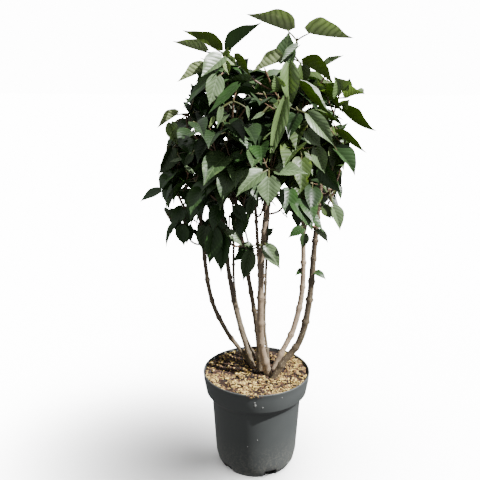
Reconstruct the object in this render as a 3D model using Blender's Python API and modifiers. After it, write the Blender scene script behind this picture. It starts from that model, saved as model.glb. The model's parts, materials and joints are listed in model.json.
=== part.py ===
"""A potted lilac: a many-stemmed garden shrub in a round nursery pot topped with bark mulch.

Metres, +Z up. The origin is the centre of the pot's flat underside, on the surface it stands on.
The plant is an assembly of the pot, its soil and mulch, the stems, a few boughs and the masses of
foliage. Each mass is one shoot: a twig that forks by a seeded rule and carries opposite pairs of
leaves, each pair turned a right angle from the one below it.
"""

import math
import random

import bmesh
import bpy
from mathutils import Matrix, Vector
from mathutils.bvhtree import BVHTree

SEED = 41
GAP = 0.0003                      # clearance kept between neighbouring solids

# The pot: a 28 cm nursery container with a deep collar, a tapered body and a rounded foot.
POT_HEIGHT = 0.272
POT_WALL = 0.0026
POT_STEPS = 32
POT_OUTSIDE = (                   # radius and height down the outer side
    (0.1372, 0.2720), (0.1400, 0.2705), (0.1385, 0.2520), (0.1325, 0.2180), (0.1195, 0.2020),
    (0.1165, 0.1870), (0.1075, 0.0450), (0.1020, 0.0200), (0.0920, 0.0040), (0.0830, 0.0000))
POT_INSIDE_CORNERS = (0.020, 0.187, 0.202, 0.218, 0.270)
DRAIN_COUNT = 8
DRAIN_WIDTH = 0.011
DRAIN_HEIGHT = 0.010
DRAIN_DEPTH = 0.024
DRAIN_TURN = 17.0                 # degrees from +X to the first drain notch

# What fills the pot.
GROUND = 0.262                    # top of the mulch where the stems come out
MULCH_DEPTH = 0.016
MULCH_FALL = 0.006                # the mulch lies this much lower at the wall
SOIL_LIFT = 0.0005                # soil above the pot's floor
SOIL_SHOULDER = 0.024             # the soil draws in below this height, clear of the drain notches
SOIL_FOOT_RADIUS = 0.066
MULCH_TOP = ((0.0, 0.0), (0.075, 0.0), (0.110, 0.4))    # radius and share of the fall there

# Stems: where each one's axis passes at these heights, then its top, foot radius and top radius.
STEM_LEVELS = (GROUND, 0.30, 0.36, 0.46, 0.62, 0.82)
LIMB_RESOLUTION = 2               # gives an eight-sided tube
LIMB_SIDES = 8
STEM_STEPS = 10
STEM_SPACING = 1.25               # above 1 the points crowd towards the foot, where stems curve most
STEM_SUNK = 0.006                 # a stem starts this far under the mulch before it is cut flat
STEM_TAPER = 0.8                  # below 1 a stem holds its thickness and thins towards its top
FLARE_SHARE = 0.16                # how much wider a stem is where it meets the mulch
FLARE_RISE = 0.022
STEMS = {
    "stem_1": (((-0.016, 0.052), (-0.040, 0.048), (-0.079, 0.042), (-0.119, 0.032), (-0.138, 0.020),
                (-0.152, 0.012)), (-0.165, 0.006, 0.875), 0.0052, 0.0030),
    "stem_2": (((-0.009, 0.033), (-0.022, 0.041), (-0.041, 0.052), (-0.065, 0.067), (-0.087, 0.087),
                (-0.098, 0.103)), (-0.115, 0.108, 0.945), 0.0064, 0.0030),
    "stem_3": (((0.007, 0.049), (-0.015, 0.062), (-0.039, 0.081), (-0.061, 0.108), (-0.064, 0.146),
                (-0.070, 0.176)), (-0.060, 0.186, 0.920), 0.0036, 0.0026),
    "stem_4": (((0.008, 0.020), (0.007, 0.016), (0.003, 0.010), (-0.010, -0.002), (-0.035, -0.024),
                (-0.062, -0.046)), (-0.070, -0.058, 1.005), 0.0066, 0.0030),
    "stem_5": (((0.031, -0.001), (0.022, -0.009), (0.011, -0.017), (0.009, -0.024), (0.013, -0.027),
                (0.034, -0.029)), (0.071, -0.030, 1.025), 0.0096, 0.0032),
    "stem_6": (((0.033, 0.052), (0.028, 0.066), (0.021, 0.087), (0.023, 0.118), (0.028, 0.157),
                (0.040, 0.188)), (0.060, 0.198, 0.900), 0.0038, 0.0026),
    "stem_7": (((0.049, 0.034), (0.068, 0.047), (0.099, 0.068), (0.121, 0.096), (0.122, 0.131),
                (0.118, 0.154)), (0.124, 0.158, 0.860), 0.0062, 0.0028),
    "stem_8": (((0.047, -0.021), (0.068, -0.018), (0.110, -0.014), (0.132, -0.010), (0.143, -0.005),
                (0.157, -0.002)), (0.172, -0.001, 0.915), 0.0072, 0.0030),
    "stem_9": (((0.021, 0.069), (0.014, 0.071), (0.009, 0.075), (0.009, 0.082), (-0.001, 0.091),
                (-0.013, 0.096)), (-0.014, 0.094, 0.880), 0.0056, 0.0028),
}

# Boughs: the limb each one springs from, its tip and its radii.
BOUGH_STEPS = 5
BOUGH_LEAN = 0.35                 # how far a bough's top leans out for each metre it rises
BOUGHS = {
    "bough_front": ("stem_5", (0.028, -0.125, 0.788), 0.0045, 0.0028),
    "bough_front_left": ("stem_4", (-0.085, -0.118, 0.835), 0.0042, 0.0028),
    "bough_left": ("stem_1", (-0.196, -0.018, 0.760), 0.0036, 0.0026),
    "bough_right": ("stem_8", (0.192, -0.042, 0.812), 0.0042, 0.0028),
    "bough_back": ("stem_6", (0.008, 0.232, 0.785), 0.0034, 0.0026),
}

# Foliage: the limb each shoot springs from, the place of its last pair of leaves, and the turn of
# that pair about the twig, in degrees from +X.
LEADERS = (
    ("stem_5", (0.086, -0.030, 1.120), 2),
    ("stem_4", (-0.068, -0.060, 1.090), 8),
    ("stem_8", (0.190, 0.000, 0.994), 45),
    ("stem_1", (-0.172, 0.004, 0.940), 70),
    ("stem_2", (-0.122, 0.110, 1.022), 150),
    ("bough_front", (0.024, -0.182, 0.856), 4),
    ("bough_front_left", (-0.108, -0.138, 0.938), 25),
    ("bough_left", (-0.212, -0.036, 0.874), 30),
    ("bough_right", (0.204, -0.056, 0.912), 65),
    ("stem_3", (-0.055, 0.192, 1.000), 75),
    ("stem_9", (-0.012, 0.080, 0.985), 30),
    ("stem_6", (0.072, 0.206, 0.985), 40),
    ("stem_7", (0.140, 0.165, 0.940), 5),
    ("bough_back", (0.000, 0.258, 0.875), 20),
)
SHOOTS = (
    ("stem_5", (0.148, -0.060, 1.040), 60),
    ("bough_left", (-0.228, -0.004, 0.800), 15),
    ("stem_5", (0.045, -0.140, 0.995), 80),
    ("stem_5", (0.015, -0.090, 1.060), 35),
    ("stem_4", (-0.055, -0.150, 1.000), 50),
    ("bough_front_left", (-0.036, -0.185, 0.895), 5),
    ("stem_4", (-0.130, -0.055, 1.030), 70),
    ("bough_front_left", (-0.115, -0.165, 0.810), 60),
    ("stem_4", (-0.092, -0.085, 0.705), 40),
    ("stem_1", (-0.190, -0.020, 0.680), 80),
    ("bough_left", (-0.162, -0.092, 0.820), 55),
    ("stem_9", (-0.030, -0.015, 0.660), 20),
    ("stem_5", (0.108, -0.125, 0.945), 40),
    ("stem_8", (0.215, 0.030, 0.880), 10),
    ("bough_right", (0.158, -0.095, 0.810), 75),
    ("stem_8", (0.185, -0.010, 0.758), 35),
    ("stem_8", (0.100, -0.050, 0.735), 15),
    ("bough_front", (0.075, -0.140, 0.795), 50),
    ("stem_5", (0.115, -0.120, 0.870), 85),
    ("bough_back", (0.066, 0.250, 0.835), 20),
    ("bough_back", (-0.055, 0.240, 0.835), 60),
    ("stem_7", (0.200, 0.120, 0.840), 30),
    ("stem_2", (-0.180, 0.110, 0.880), 65),
    ("stem_2", (-0.155, 0.140, 0.735), 10),
    ("stem_7", (0.160, 0.190, 0.740), 45),
    ("stem_3", (-0.085, 0.230, 0.755), 80),
    ("stem_9", (0.045, 0.060, 0.860), 25),
    ("stem_2", (-0.160, 0.055, 0.980), 40),
    ("stem_6", (0.120, 0.110, 0.990), 55),
)

# Twigs: three-sided, with the bud that ends them.
TWIG_ROOT_RADIUS = 0.0034
TWIG_TIP_RADIUS = 0.0026
BUD_LENGTH = 0.010
BUD_RADIUS = 0.0009
TWIG_STEPS = 4
TWIG_SIDES = 3
TWIG_LEAN = 0.69                  # how far a shoot's top leans out for each metre it rises
ARC_KNEE = 0.35                   # reach of a path's first and last bends, of its length
STUB = 0.004                      # a shoot leaves its limb straight for this far
SPRING_BELOW = 0.018              # a shoot springs this much lower than its goal, and lower still
SPRING_SLOPE = 0.72               # by this share of how far out the goal lies
SPRING_UNDER_TOP = 0.012          # but no nearer than this to its limb's top
SPRING_OVER_FOOT = 0.020          # nor than this to a bough's foot
SPRING_MOST = 0.0012              # its root stands off the bark by no more than this
SPRING_NUDGE = 0.0001
FORK_SHARE = 0.45                 # where a twig forks, of the way up it
FORK_LEAST = 0.035                # a fork nearer than this to the limb is left out
FORK_LENGTH = 0.056
FORK_LENGTH_SPREAD = 0.15         # either way, as a share
FORK_ANGLE = 42.0
FORK_TURN_UP = 0.5                # how much a fork's end turns up
FORK_TRIES = 6
FORK_STEPS = 2
FORK_LEAF_SIZE = 0.92
LEADER_TOP_SIZE = 1.10            # of a leader's last pair of leaves, of the full size
SHOOT_TOP_SIZE = 0.84
INTERNODE = 0.032                 # between two pairs of leaves
INTERNODE_RANGE = (0.90, 1.15)
PAIR_WOBBLE = 9.0                 # degrees either way that a leaf stands off its right angle
PAIR_OFFSET = 0.0003              # per radian round the twig, so the two roots do not coincide
NODE_CLEAR = 0.020                # no leaves nearer than this to a twig's root

# Leaves: ovate, folded up along the midrib, drawn out to a drooping point.
LEAF_LENGTH = 0.102
LOW_LEAF_LESS = 0.26              # the lowest leaves are smaller than the highest by this share
LEAF_SIZE_RANGE = (0.88, 1.10)
LEAF_WIDTH = 0.62                 # of the length
LEAF_THICK = 0.0013
LEAF_FOLD_TOP = 46.0              # degrees that each half is raised on the highest leaves
LEAF_FOLD_FOOT = 20.0             # and on the lowest ones
LEAF_PITCH_TOP = 24.0             # degrees that the highest leaves rise from their petioles
LEAF_PITCH_FOOT = -44.0
LEAF_DROOP_TOP = 34.0             # degrees that a blade bends down from base to point
LEAF_DROOP_FOOT = 42.0
LEAF_WOBBLE = 12.0                # either way on pitch and droop
LEAF_ROLL = 20.0
LEAF_SWINGS = ((0, 0), (20, 0), (-20, 0), (0, -18), (38, -8), (-38, -8), (0, 20))    # turn and dip tried
LEAF_WIDEST = 0.32                # of the way along the blade
MIDRIB_STEPS = 6
PETIOLE_LENGTH = 0.025
PETIOLE_RADIUS = 0.0009
PETIOLE_ANGLE = 54.0              # between the petiole and the twig
LEAF_CLEAR = 0.0006               # room asked of a leaf when it is tried in its place
LIMB_CLEAR = 0.0008
LEAF_SUNK = 0.0004                # a petiole's root lies this far inside its twig
HEADING_LEAST = 0.15              # a petiole nearer to upright than this takes its twig's heading

# The crown's own bounds.
CROWN_FLOOR = 0.545
CROWN_TOP = 1.188
CROWN_HALF_WIDTH = 0.285
CROWN_HALF_DEPTH = 0.290
SAG_TOP = 1.08                    # leaves spread level above this height and hang below it
SAG_FOOT = 0.66


# ---------------------------------------------------------------- scene, materials, small helpers

def clear_scene():
    for thing in list(bpy.data.objects):
        bpy.data.objects.remove(thing, do_unlink=True)


def new_collection(name):
    made = bpy.data.collections.new(name)
    bpy.context.scene.collection.children.link(made)
    return made


def plain_material(name, colour, roughness):
    made = bpy.data.materials.new(name)
    made.use_nodes = True
    shader = made.node_tree.nodes["Principled BSDF"]
    shader.inputs["Base Color"].default_value = (*colour, 1.0)
    shader.inputs["Roughness"].default_value = roughness
    shader.inputs["Metallic"].default_value = 0.0
    made.diffuse_color = (*colour, 1.0)
    return made


def mesh_object(name, mesh, collection, material=None):
    made = bpy.data.objects.new(name, mesh)
    collection.objects.link(made)
    if material is not None:
        mesh.materials.clear()
        mesh.materials.append(material)
    return made


def face_outwards(shape):
    """Turn a closed skin's faces so that they all point out."""
    bmesh.ops.recalc_face_normals(shape, faces=shape.faces)
    if shape.calc_volume(signed=True) < 0.0:
        bmesh.ops.reverse_faces(shape, faces=shape.faces)


def freeze(source, collection, material=None):
    """Turn a curve or a modified object into a plain welded mesh object and remove the source."""
    evaluated = source.evaluated_get(bpy.context.evaluated_depsgraph_get())
    mesh = bpy.data.meshes.new_from_object(evaluated)
    shape = bmesh.new()
    shape.from_mesh(mesh)
    bmesh.ops.remove_doubles(shape, verts=shape.verts, dist=0.00001)
    face_outwards(shape)
    shape.to_mesh(mesh)
    shape.free()
    name = source.name
    place = source.matrix_world.copy()
    bpy.data.objects.remove(source, do_unlink=True)
    made = mesh_object(name, mesh, collection, material)
    made.name = name
    made.matrix_world = place
    return made


def apply_modifiers(thing):
    bpy.ops.object.select_all(action="DESELECT")
    thing.select_set(True)
    bpy.context.view_layer.objects.active = thing
    for modifier in list(thing.modifiers):
        bpy.ops.object.modifier_apply(modifier=modifier.name)


def turned(name, profile, collection, material):
    """A profile of (radius, height), down its outer side, turned about the vertical axis."""
    mesh = bpy.data.meshes.new(name)
    points = [(radius, 0.0, height) for radius, height in profile]
    mesh.from_pydata(points, [(i, i + 1) for i in range(len(points) - 1)], [])
    made = mesh_object(name, mesh, collection)
    screw = made.modifiers.new("turn", "SCREW")
    screw.steps = screw.render_steps = POT_STEPS
    screw.use_merge_vertices = True
    screw.merge_threshold = 0.00001
    apply_modifiers(made)
    made.data.materials.append(material)
    return made


# ---------------------------------------------------------------- pot, soil and mulch

def between(pairs, height):
    """The radius at a height, straight between (height, radius) pairs that rise."""
    for (z0, r0), (z1, r1) in zip(pairs, pairs[1:]):
        if height <= z1:
            return r0 + (r1 - r0) * (height - z0) / (z1 - z0)
    return pairs[-1][1]


def wall_inside(height):
    """The pot's inner radius at a height."""
    outside = [(z, r) for r, z in reversed(POT_OUTSIDE)]
    corners = [(z, between(outside, z) - POT_WALL) for z in POT_INSIDE_CORNERS]
    return between(corners, height)


def build_pot(parts, cutters, plastic):
    floor = POT_WALL
    inner = [(0.0, floor), (POT_OUTSIDE[-1][0] - POT_WALL, floor)]
    for height in POT_INSIDE_CORNERS:
        inner.append((wall_inside(height), height))
    outer = list(POT_OUTSIDE) + [(0.0, 0.0)]
    pot = turned("pot", inner + outer, parts, plastic)

    foot_radius = POT_OUTSIDE[-2][0]
    for i in range(DRAIN_COUNT):
        turn = math.radians(DRAIN_TURN + 360.0 * i / DRAIN_COUNT)
        bpy.ops.mesh.primitive_cube_add(size=1.0)
        notch = bpy.context.object
        notch.name = f"drain_notch_{i + 1}"
        notch.scale = (DRAIN_DEPTH, DRAIN_WIDTH, DRAIN_HEIGHT * 2)
        notch.rotation_euler = (0.0, 0.0, turn)
        notch.location = (foot_radius * math.cos(turn), foot_radius * math.sin(turn), 0.0)
        for home in list(notch.users_collection):
            home.objects.unlink(notch)
        cutters.objects.link(notch)
        notch.hide_render = True
        notch.display_type = "WIRE"
    cut = pot.modifiers.new("drain notches", "BOOLEAN")
    cut.operation = "DIFFERENCE"
    cut.operand_type = "COLLECTION"
    cut.collection = cutters
    cut.solver = "EXACT"
    apply_modifiers(pot)
    pot.data.shade_smooth()
    pot.data.set_sharp_from_angle(angle=math.radians(35))
    return pot


def build_fill(parts, soil_material, mulch_material):
    mulch_foot = GROUND - MULCH_DEPTH
    soil_top = mulch_foot - GAP
    foot = POT_WALL + SOIL_LIFT
    levels = (soil_top, *reversed(POT_INSIDE_CORNERS[1:-1]), SOIL_SHOULDER)
    side = [(wall_inside(z) - GAP, z) for z in levels]
    bottom = [(SOIL_FOOT_RADIUS, foot), (0.0, foot)]
    turned("soil", [(0.0, soil_top)] + side + bottom, parts, soil_material)

    top = [(radius, GROUND - share * MULCH_FALL) for radius, share in MULCH_TOP]
    wall = [(wall_inside(z) - GAP, z) for z in (GROUND - MULCH_FALL, mulch_foot)]
    turned("mulch", top + wall + [(0.0, mulch_foot)], parts, mulch_material)


# ---------------------------------------------------------------- paths

def level_path(levels, places, height):
    """Smooth path of (x, y) against height through the given levels."""
    last = len(levels) - 1
    slopes = []
    for i in range(last + 1):
        a, b = max(i - 1, 0), min(i + 1, last)
        slopes.append([(places[b][k] - places[a][k]) / (levels[b] - levels[a]) for k in (0, 1)])
    i = 0
    while i < last - 1 and height > levels[i + 1]:
        i += 1
    span = levels[i + 1] - levels[i]
    t = (height - levels[i]) / span
    if t < 0.0:
        return [places[0][k] + slopes[0][k] * (height - levels[0]) for k in (0, 1)]
    weights = (2 * t ** 3 - 3 * t ** 2 + 1, 3 * t ** 2 - 2 * t ** 3)
    pulls = ((t ** 3 - 2 * t ** 2 + t) * span, (t ** 3 - t ** 2) * span)
    return [weights[0] * places[i][k] + weights[1] * places[i + 1][k]
            + pulls[0] * slopes[i][k] + pulls[1] * slopes[i + 1][k] for k in (0, 1)]


def arc_path(start, out, end, rise, steps):
    """Points of a limb that leaves along `out`, bends, and arrives at `end` going along `rise`."""
    reach = (end - start).length
    knee = start + out * reach * ARC_KNEE
    shoulder = end - rise * reach * ARC_KNEE
    points = []
    for i in range(steps + 1):
        t = i / steps
        s = 1.0 - t
        points.append(start * s ** 3 + knee * 3 * s * s * t + shoulder * 3 * s * t * t + end * t ** 3)
    return points


def along(points, distance):
    """Place and direction at a distance along a polyline."""
    for a, b in zip(points, points[1:]):
        step = (b - a).length
        if distance <= step:
            return a.lerp(b, distance / step), (b - a).normalized()
        distance -= step
    return points[-1].copy(), (points[-1] - points[-2]).normalized()


def path_length(points):
    return sum((b - a).length for a, b in zip(points, points[1:]))


def leaning(out, lean):
    """The unit direction that rises and leans out by a share of the rise."""
    return Vector((lean * out.x, lean * out.y, 1.0)).normalized()


def square_to(direction):
    """Two unit vectors square to a direction and to each other, the first as near +X as can be."""
    near = Vector((1.0, 0.0, 0.0)) if abs(direction.x) < 0.9 else Vector((0.0, 0.0, -1.0))
    side = (near - direction * near.dot(direction)).normalized()
    return side, direction.cross(side)


# ---------------------------------------------------------------- limbs

class Limb:
    """A stem or bough: its points from foot to tip and the radius at each."""

    def __init__(self, name, points, radii):
        self.name = name
        self.points = points
        self.radii = radii

    def at_height(self, height):
        """Axis point, direction and radius where the limb passes a height."""
        i = 0
        while i < len(self.points) - 2 and height > self.points[i + 1].z:
            i += 1
        a, b = self.points[i], self.points[i + 1]
        t = min(max((height - a.z) / (b.z - a.z), 0.0), 1.0)
        radius = self.radii[i] + (self.radii[i + 1] - self.radii[i]) * t
        return a.lerp(b, t), (b - a).normalized(), radius


def stem_limb(name):
    places, top, foot_radius, top_radius = STEMS[name]
    levels = list(STEM_LEVELS) + [top[2]]
    places = list(places) + [top[:2]]
    foot = GROUND - STEM_SUNK
    points, radii = [], []
    for i in range(STEM_STEPS + 1):
        share = (i / STEM_STEPS) ** STEM_SPACING
        height = foot + (top[2] - foot) * share
        x, y = level_path(levels, places, height)
        points.append(Vector((x, y, height)))
        rise = max(height - GROUND, 0.0)
        flare = FLARE_SHARE * foot_radius * math.exp(-rise / FLARE_RISE)
        slim = (1.0 - share) ** STEM_TAPER
        radii.append(top_radius + (foot_radius - top_radius) * slim + flare)
    return Limb(name, points, radii)


def spring_point(limb, goal):
    """Where a shoot bound for `goal` leaves a limb: its start, just clear of the bark, and way out."""
    height = goal.z
    for _ in range(4):
        place, _, _ = limb.at_height(height)
        spread = math.hypot(goal.x - place.x, goal.y - place.y)
        height = goal.z - SPRING_BELOW - SPRING_SLOPE * spread
        height = min(height, limb.points[-1].z - SPRING_UNDER_TOP)
        height = max(height, CROWN_FLOOR, limb.points[0].z + SPRING_OVER_FOOT)
    place, direction, radius = limb.at_height(height)
    out = goal - place
    out -= direction * out.dot(direction)
    out.normalize()
    bark = limb_taken(limb, GAP)
    reach = radius + GAP
    while True:
        start = place + out * reach
        root = twig_taken([start, start + out * STUB], TWIG_ROOT_RADIUS, None)
        if not root.touches(bark) or reach > radius + SPRING_MOST:
            return start, out
        reach += SPRING_NUDGE


def bough_limb(name, limbs):
    parent, tip, root_radius, tip_radius = BOUGHS[name]
    tip = Vector(tip)
    start, out = spring_point(limbs[parent], tip)
    points = [start] + arc_path(start + out * STUB, out, tip, leaning(out, BOUGH_LEAN), BOUGH_STEPS)
    last = len(points) - 1
    radii = [root_radius + (tip_radius - root_radius) * i / last for i in range(last + 1)]
    return Limb(name, points, radii)


def limb_object(limb, parts, bark):
    curve = bpy.data.curves.new(limb.name, "CURVE")
    curve.dimensions = "3D"
    curve.bevel_depth = limb.radii[0]
    curve.bevel_resolution = LIMB_RESOLUTION
    curve.use_fill_caps = True
    spline = curve.splines.new("POLY")
    spline.points.add(len(limb.points) - 1)
    for knot, place, radius in zip(spline.points, limb.points, limb.radii):
        knot.co = (*place, 1.0)
        knot.radius = radius / limb.radii[0]
    tube = bpy.data.objects.new(limb.name, curve)
    parts.objects.link(tube)
    made = freeze(tube, parts, bark)
    if limb.name in STEMS:
        shape = bmesh.new()
        shape.from_mesh(made.data)
        everything = shape.verts[:] + shape.edges[:] + shape.faces[:]
        bmesh.ops.bisect_plane(shape, geom=everything, dist=0.00001, clear_inner=True,
                               plane_co=(0.0, 0.0, GROUND + GAP), plane_no=(0.0, 0.0, 1.0))
        rim = [edge for edge in shape.edges if edge.is_boundary]
        bmesh.ops.holes_fill(shape, edges=rim, sides=0)
        face_outwards(shape)
        shape.to_mesh(made.data)
        shape.free()
    made.data.shade_smooth()
    made.data.set_sharp_from_angle(angle=math.radians(50))
    return made


# ---------------------------------------------------------------- shapes made by lofting

def loft(rings):
    """Corners and faces of a closed skin over rings of points, which may differ in count."""
    corners = [point for ring in rings for point in ring]
    faces = [tuple(reversed(range(len(rings[0]))))]
    start = 0
    for ring, following in zip(rings, rings[1:]):
        near, far = len(ring), len(following)
        after = start + near
        i = j = 0
        while i < near or (j < far and far > 1):
            here, there = start + i % near, after + j % far
            if far == 1 or (i < near and (i + 1) * far <= (j + 1) * near):
                faces.append((here, start + (i + 1) % near, there))
                i += 1
            else:
                faces.append((here, after + (j + 1) % far, there))
                j += 1
        start = after
    if len(rings[-1]) > 1:
        faces.append(tuple(range(start, start + len(rings[-1]))))
    return corners, faces


def tube_rings(points, radii, sides):
    rings = []
    for i, (place, radius) in enumerate(zip(points, radii)):
        ahead = points[min(i + 1, len(points) - 1)] - points[max(i - 1, 0)]
        ahead.normalize()
        side, up = square_to(ahead)
        rings.append([place + side * radius * math.cos(math.tau * k / sides)
                      + up * radius * math.sin(math.tau * k / sides) for k in range(sides)])
    return rings


class Leaf:
    """One leaf in its place: the petiole's root and direction, then the blade's course in degrees."""

    def __init__(self, root, petiole, heading, pitch, droop, roll, fold, length):
        self.root = root
        self.petiole = petiole
        self.heading = heading
        self.pitch = math.radians(pitch)
        self.droop = math.radians(droop)
        self.roll = math.radians(roll)
        self.fold = math.radians(fold)
        self.length = length
        self.width = LEAF_WIDTH * length / 2.0
        self.base = root + petiole * PETIOLE_LENGTH * length / LEAF_LENGTH

    def frame(self, share):
        """Midrib direction, side and upper normal at a share of the blade's length."""
        pitch = self.pitch - self.droop * share
        midrib = self.heading * math.cos(pitch) + Vector((0, 0, math.sin(pitch)))
        side = self.heading.cross(Vector((0, 0, 1)))
        side = Matrix.Rotation(self.roll, 3, midrib) @ side
        return midrib, side, side.cross(midrib)

    def midrib_point(self, share):
        place = self.base.copy()
        for i in range(MIDRIB_STEPS):
            midrib, _, _ = self.frame(share * (i + 0.5) / MIDRIB_STEPS)
            place += midrib * self.length * share / MIDRIB_STEPS
        return place

    def tip(self):
        return self.midrib_point(1.0)

    def stalk_ring(self, place):
        """Three corners round the petiole, with an edge below and a flat above."""
        side = self.heading.cross(Vector((0.0, 0.0, 1.0)))
        up = side.cross(self.petiole).normalized()
        half = side * PETIOLE_RADIUS * math.cos(math.radians(30.0))
        flat = place + up * PETIOLE_RADIUS * math.sin(math.radians(30.0))
        return [flat - half, place - up * PETIOLE_RADIUS, flat + half]

    def blade_rings(self, thickness):
        """The blade from base to point, with one four-cornered section: edge, keel, edge, fold."""
        _, side, up = self.frame(LEAF_WIDEST)
        middle = self.midrib_point(LEAF_WIDEST)
        out = side * self.width * math.cos(self.fold)
        lift = up * self.width * math.sin(self.fold)
        section = [middle - out + lift, middle - up * thickness / 2,
                   middle + out + lift, middle + up * thickness / 2]
        return [self.stalk_ring(self.base), section, [self.tip()]]

    def stalk_rings(self):
        return [self.stalk_ring(self.root - self.petiole * LEAF_SUNK), self.stalk_ring(self.base)]


# ---------------------------------------------------------------- keeping clear

class Taken:
    """A solid already in its place, kept for testing what comes later."""

    def __init__(self, rings, mass, kind):
        corners, faces = loft(rings)
        self.tree = BVHTree.FromPolygons(corners, faces)
        low = Vector([min(c[k] for c in corners) for k in range(3)])
        high = Vector([max(c[k] for c in corners) for k in range(3)])
        self.centre = (low + high) / 2
        self.radius = (high - low).length / 2
        self.mass = mass
        self.kind = kind

    def near(self, other):
        return (self.centre - other.centre).length < self.radius + other.radius

    def touches(self, other):
        return self.near(other) and bool(self.tree.overlap(other.tree))


def in_crown(place):
    if not CROWN_FLOOR <= place.z <= CROWN_TOP:
        return False
    return (place.x / CROWN_HALF_WIDTH) ** 2 + (place.y / CROWN_HALF_DEPTH) ** 2 <= 1.0


def limb_taken(limb, clearance):
    radii = [radius + clearance for radius in limb.radii]
    return Taken(tube_rings(limb.points, radii, LIMB_SIDES), None, "limb")


def twig_taken(path, radius, mass):
    return Taken(tube_rings(path, [radius] * len(path), TWIG_SIDES), mass, "twig")


# ---------------------------------------------------------------- foliage

def blend(first, second, share):
    return first + (second - first) * share


def hang(height):
    """How far leaves hang at a height: 0 spread level, 1 hanging."""
    return min(max((SAG_TOP - height) / (SAG_TOP - SAG_FOOT), 0.0), 1.0)


def around(direction, angle):
    """The unit vector square to a direction, at an angle round it."""
    side, up = square_to(direction)
    return side * math.cos(angle) + up * math.sin(angle)


def tilted(direction, radial, degrees):
    """A direction tilted towards a vector square to it."""
    lean = math.radians(degrees)
    return (direction * math.cos(lean) + radial * math.sin(lean)).normalized()


def try_leaf(node, direction, turn, size, dice, mass, taken):
    """Place one leaf at a node, or a little aside where something is in the way, or not at all."""
    sag = hang(node.z)
    length = LEAF_LENGTH * size * (1.0 - LOW_LEAF_LESS * sag)
    pitch = blend(LEAF_PITCH_TOP, LEAF_PITCH_FOOT, sag) + dice.uniform(-LEAF_WOBBLE, LEAF_WOBBLE)
    droop = blend(LEAF_DROOP_TOP, LEAF_DROOP_FOOT, sag) + dice.uniform(-LEAF_WOBBLE, LEAF_WOBBLE)
    roll = dice.uniform(-LEAF_ROLL, LEAF_ROLL)
    fold = blend(LEAF_FOLD_TOP, LEAF_FOLD_FOOT, sag)
    for swing, dip in LEAF_SWINGS:
        radial = around(direction, turn + math.radians(swing))
        petiole = tilted(direction, radial, PETIOLE_ANGLE)
        heading = Vector((petiole.x, petiole.y, 0.0))
        if heading.length < HEADING_LEAST:
            heading = Vector((direction.x + radial.x, direction.y + radial.y, 0.0))
        heading.normalize()
        leaf = Leaf(node, petiole, heading, pitch + dip, droop, roll, fold, length)
        if not in_crown(leaf.tip()):
            continue
        blade = Taken(leaf.blade_rings(LEAF_THICK + 2 * LEAF_CLEAR), mass, "blade")
        stalk = Taken(leaf.stalk_rings(), mass, "stalk")
        if leaf_is_clear(blade, stalk, taken):
            taken.extend((blade, stalk))
            return leaf
    return None


def leaf_is_clear(blade, stalk, taken):
    """A blade keeps clear of everything, a stalk of all but its own mass's twigs and stalks."""
    for other in taken:
        if blade.touches(other):
            return False
        fused = other.mass == stalk.mass and other.kind != "blade"
        if not fused and stalk.touches(other):
            return False
    return True


def with_bud(path):
    """A twig's path with the bud that ends it."""
    return path + [path[-1] + (path[-1] - path[-2]).normalized() * BUD_LENGTH]


def twig_leaves(path, first_turn, size, top_size, dice, mass, taken):
    """Opposite pairs from the last node of a twig down towards its root."""
    leaves = []
    distance = path_length(path) - BUD_LENGTH
    pair = 0
    while distance > NODE_CLEAR:
        for half in (0.0, math.pi):
            node, direction = along(path, distance - half * PAIR_OFFSET)
            wobble = math.radians(dice.uniform(-PAIR_WOBBLE, PAIR_WOBBLE))
            turn = first_turn + pair * math.pi / 2 + half + wobble
            grown = size * (top_size if pair == 0 else 1.0) * dice.uniform(*LEAF_SIZE_RANGE)
            leaf = try_leaf(node, direction, turn, grown, dice, mass, taken)
            if leaf is not None:
                leaves.append(leaf)
        distance -= INTERNODE * dice.uniform(*INTERNODE_RANGE)
        pair += 1
    return leaves


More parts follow.
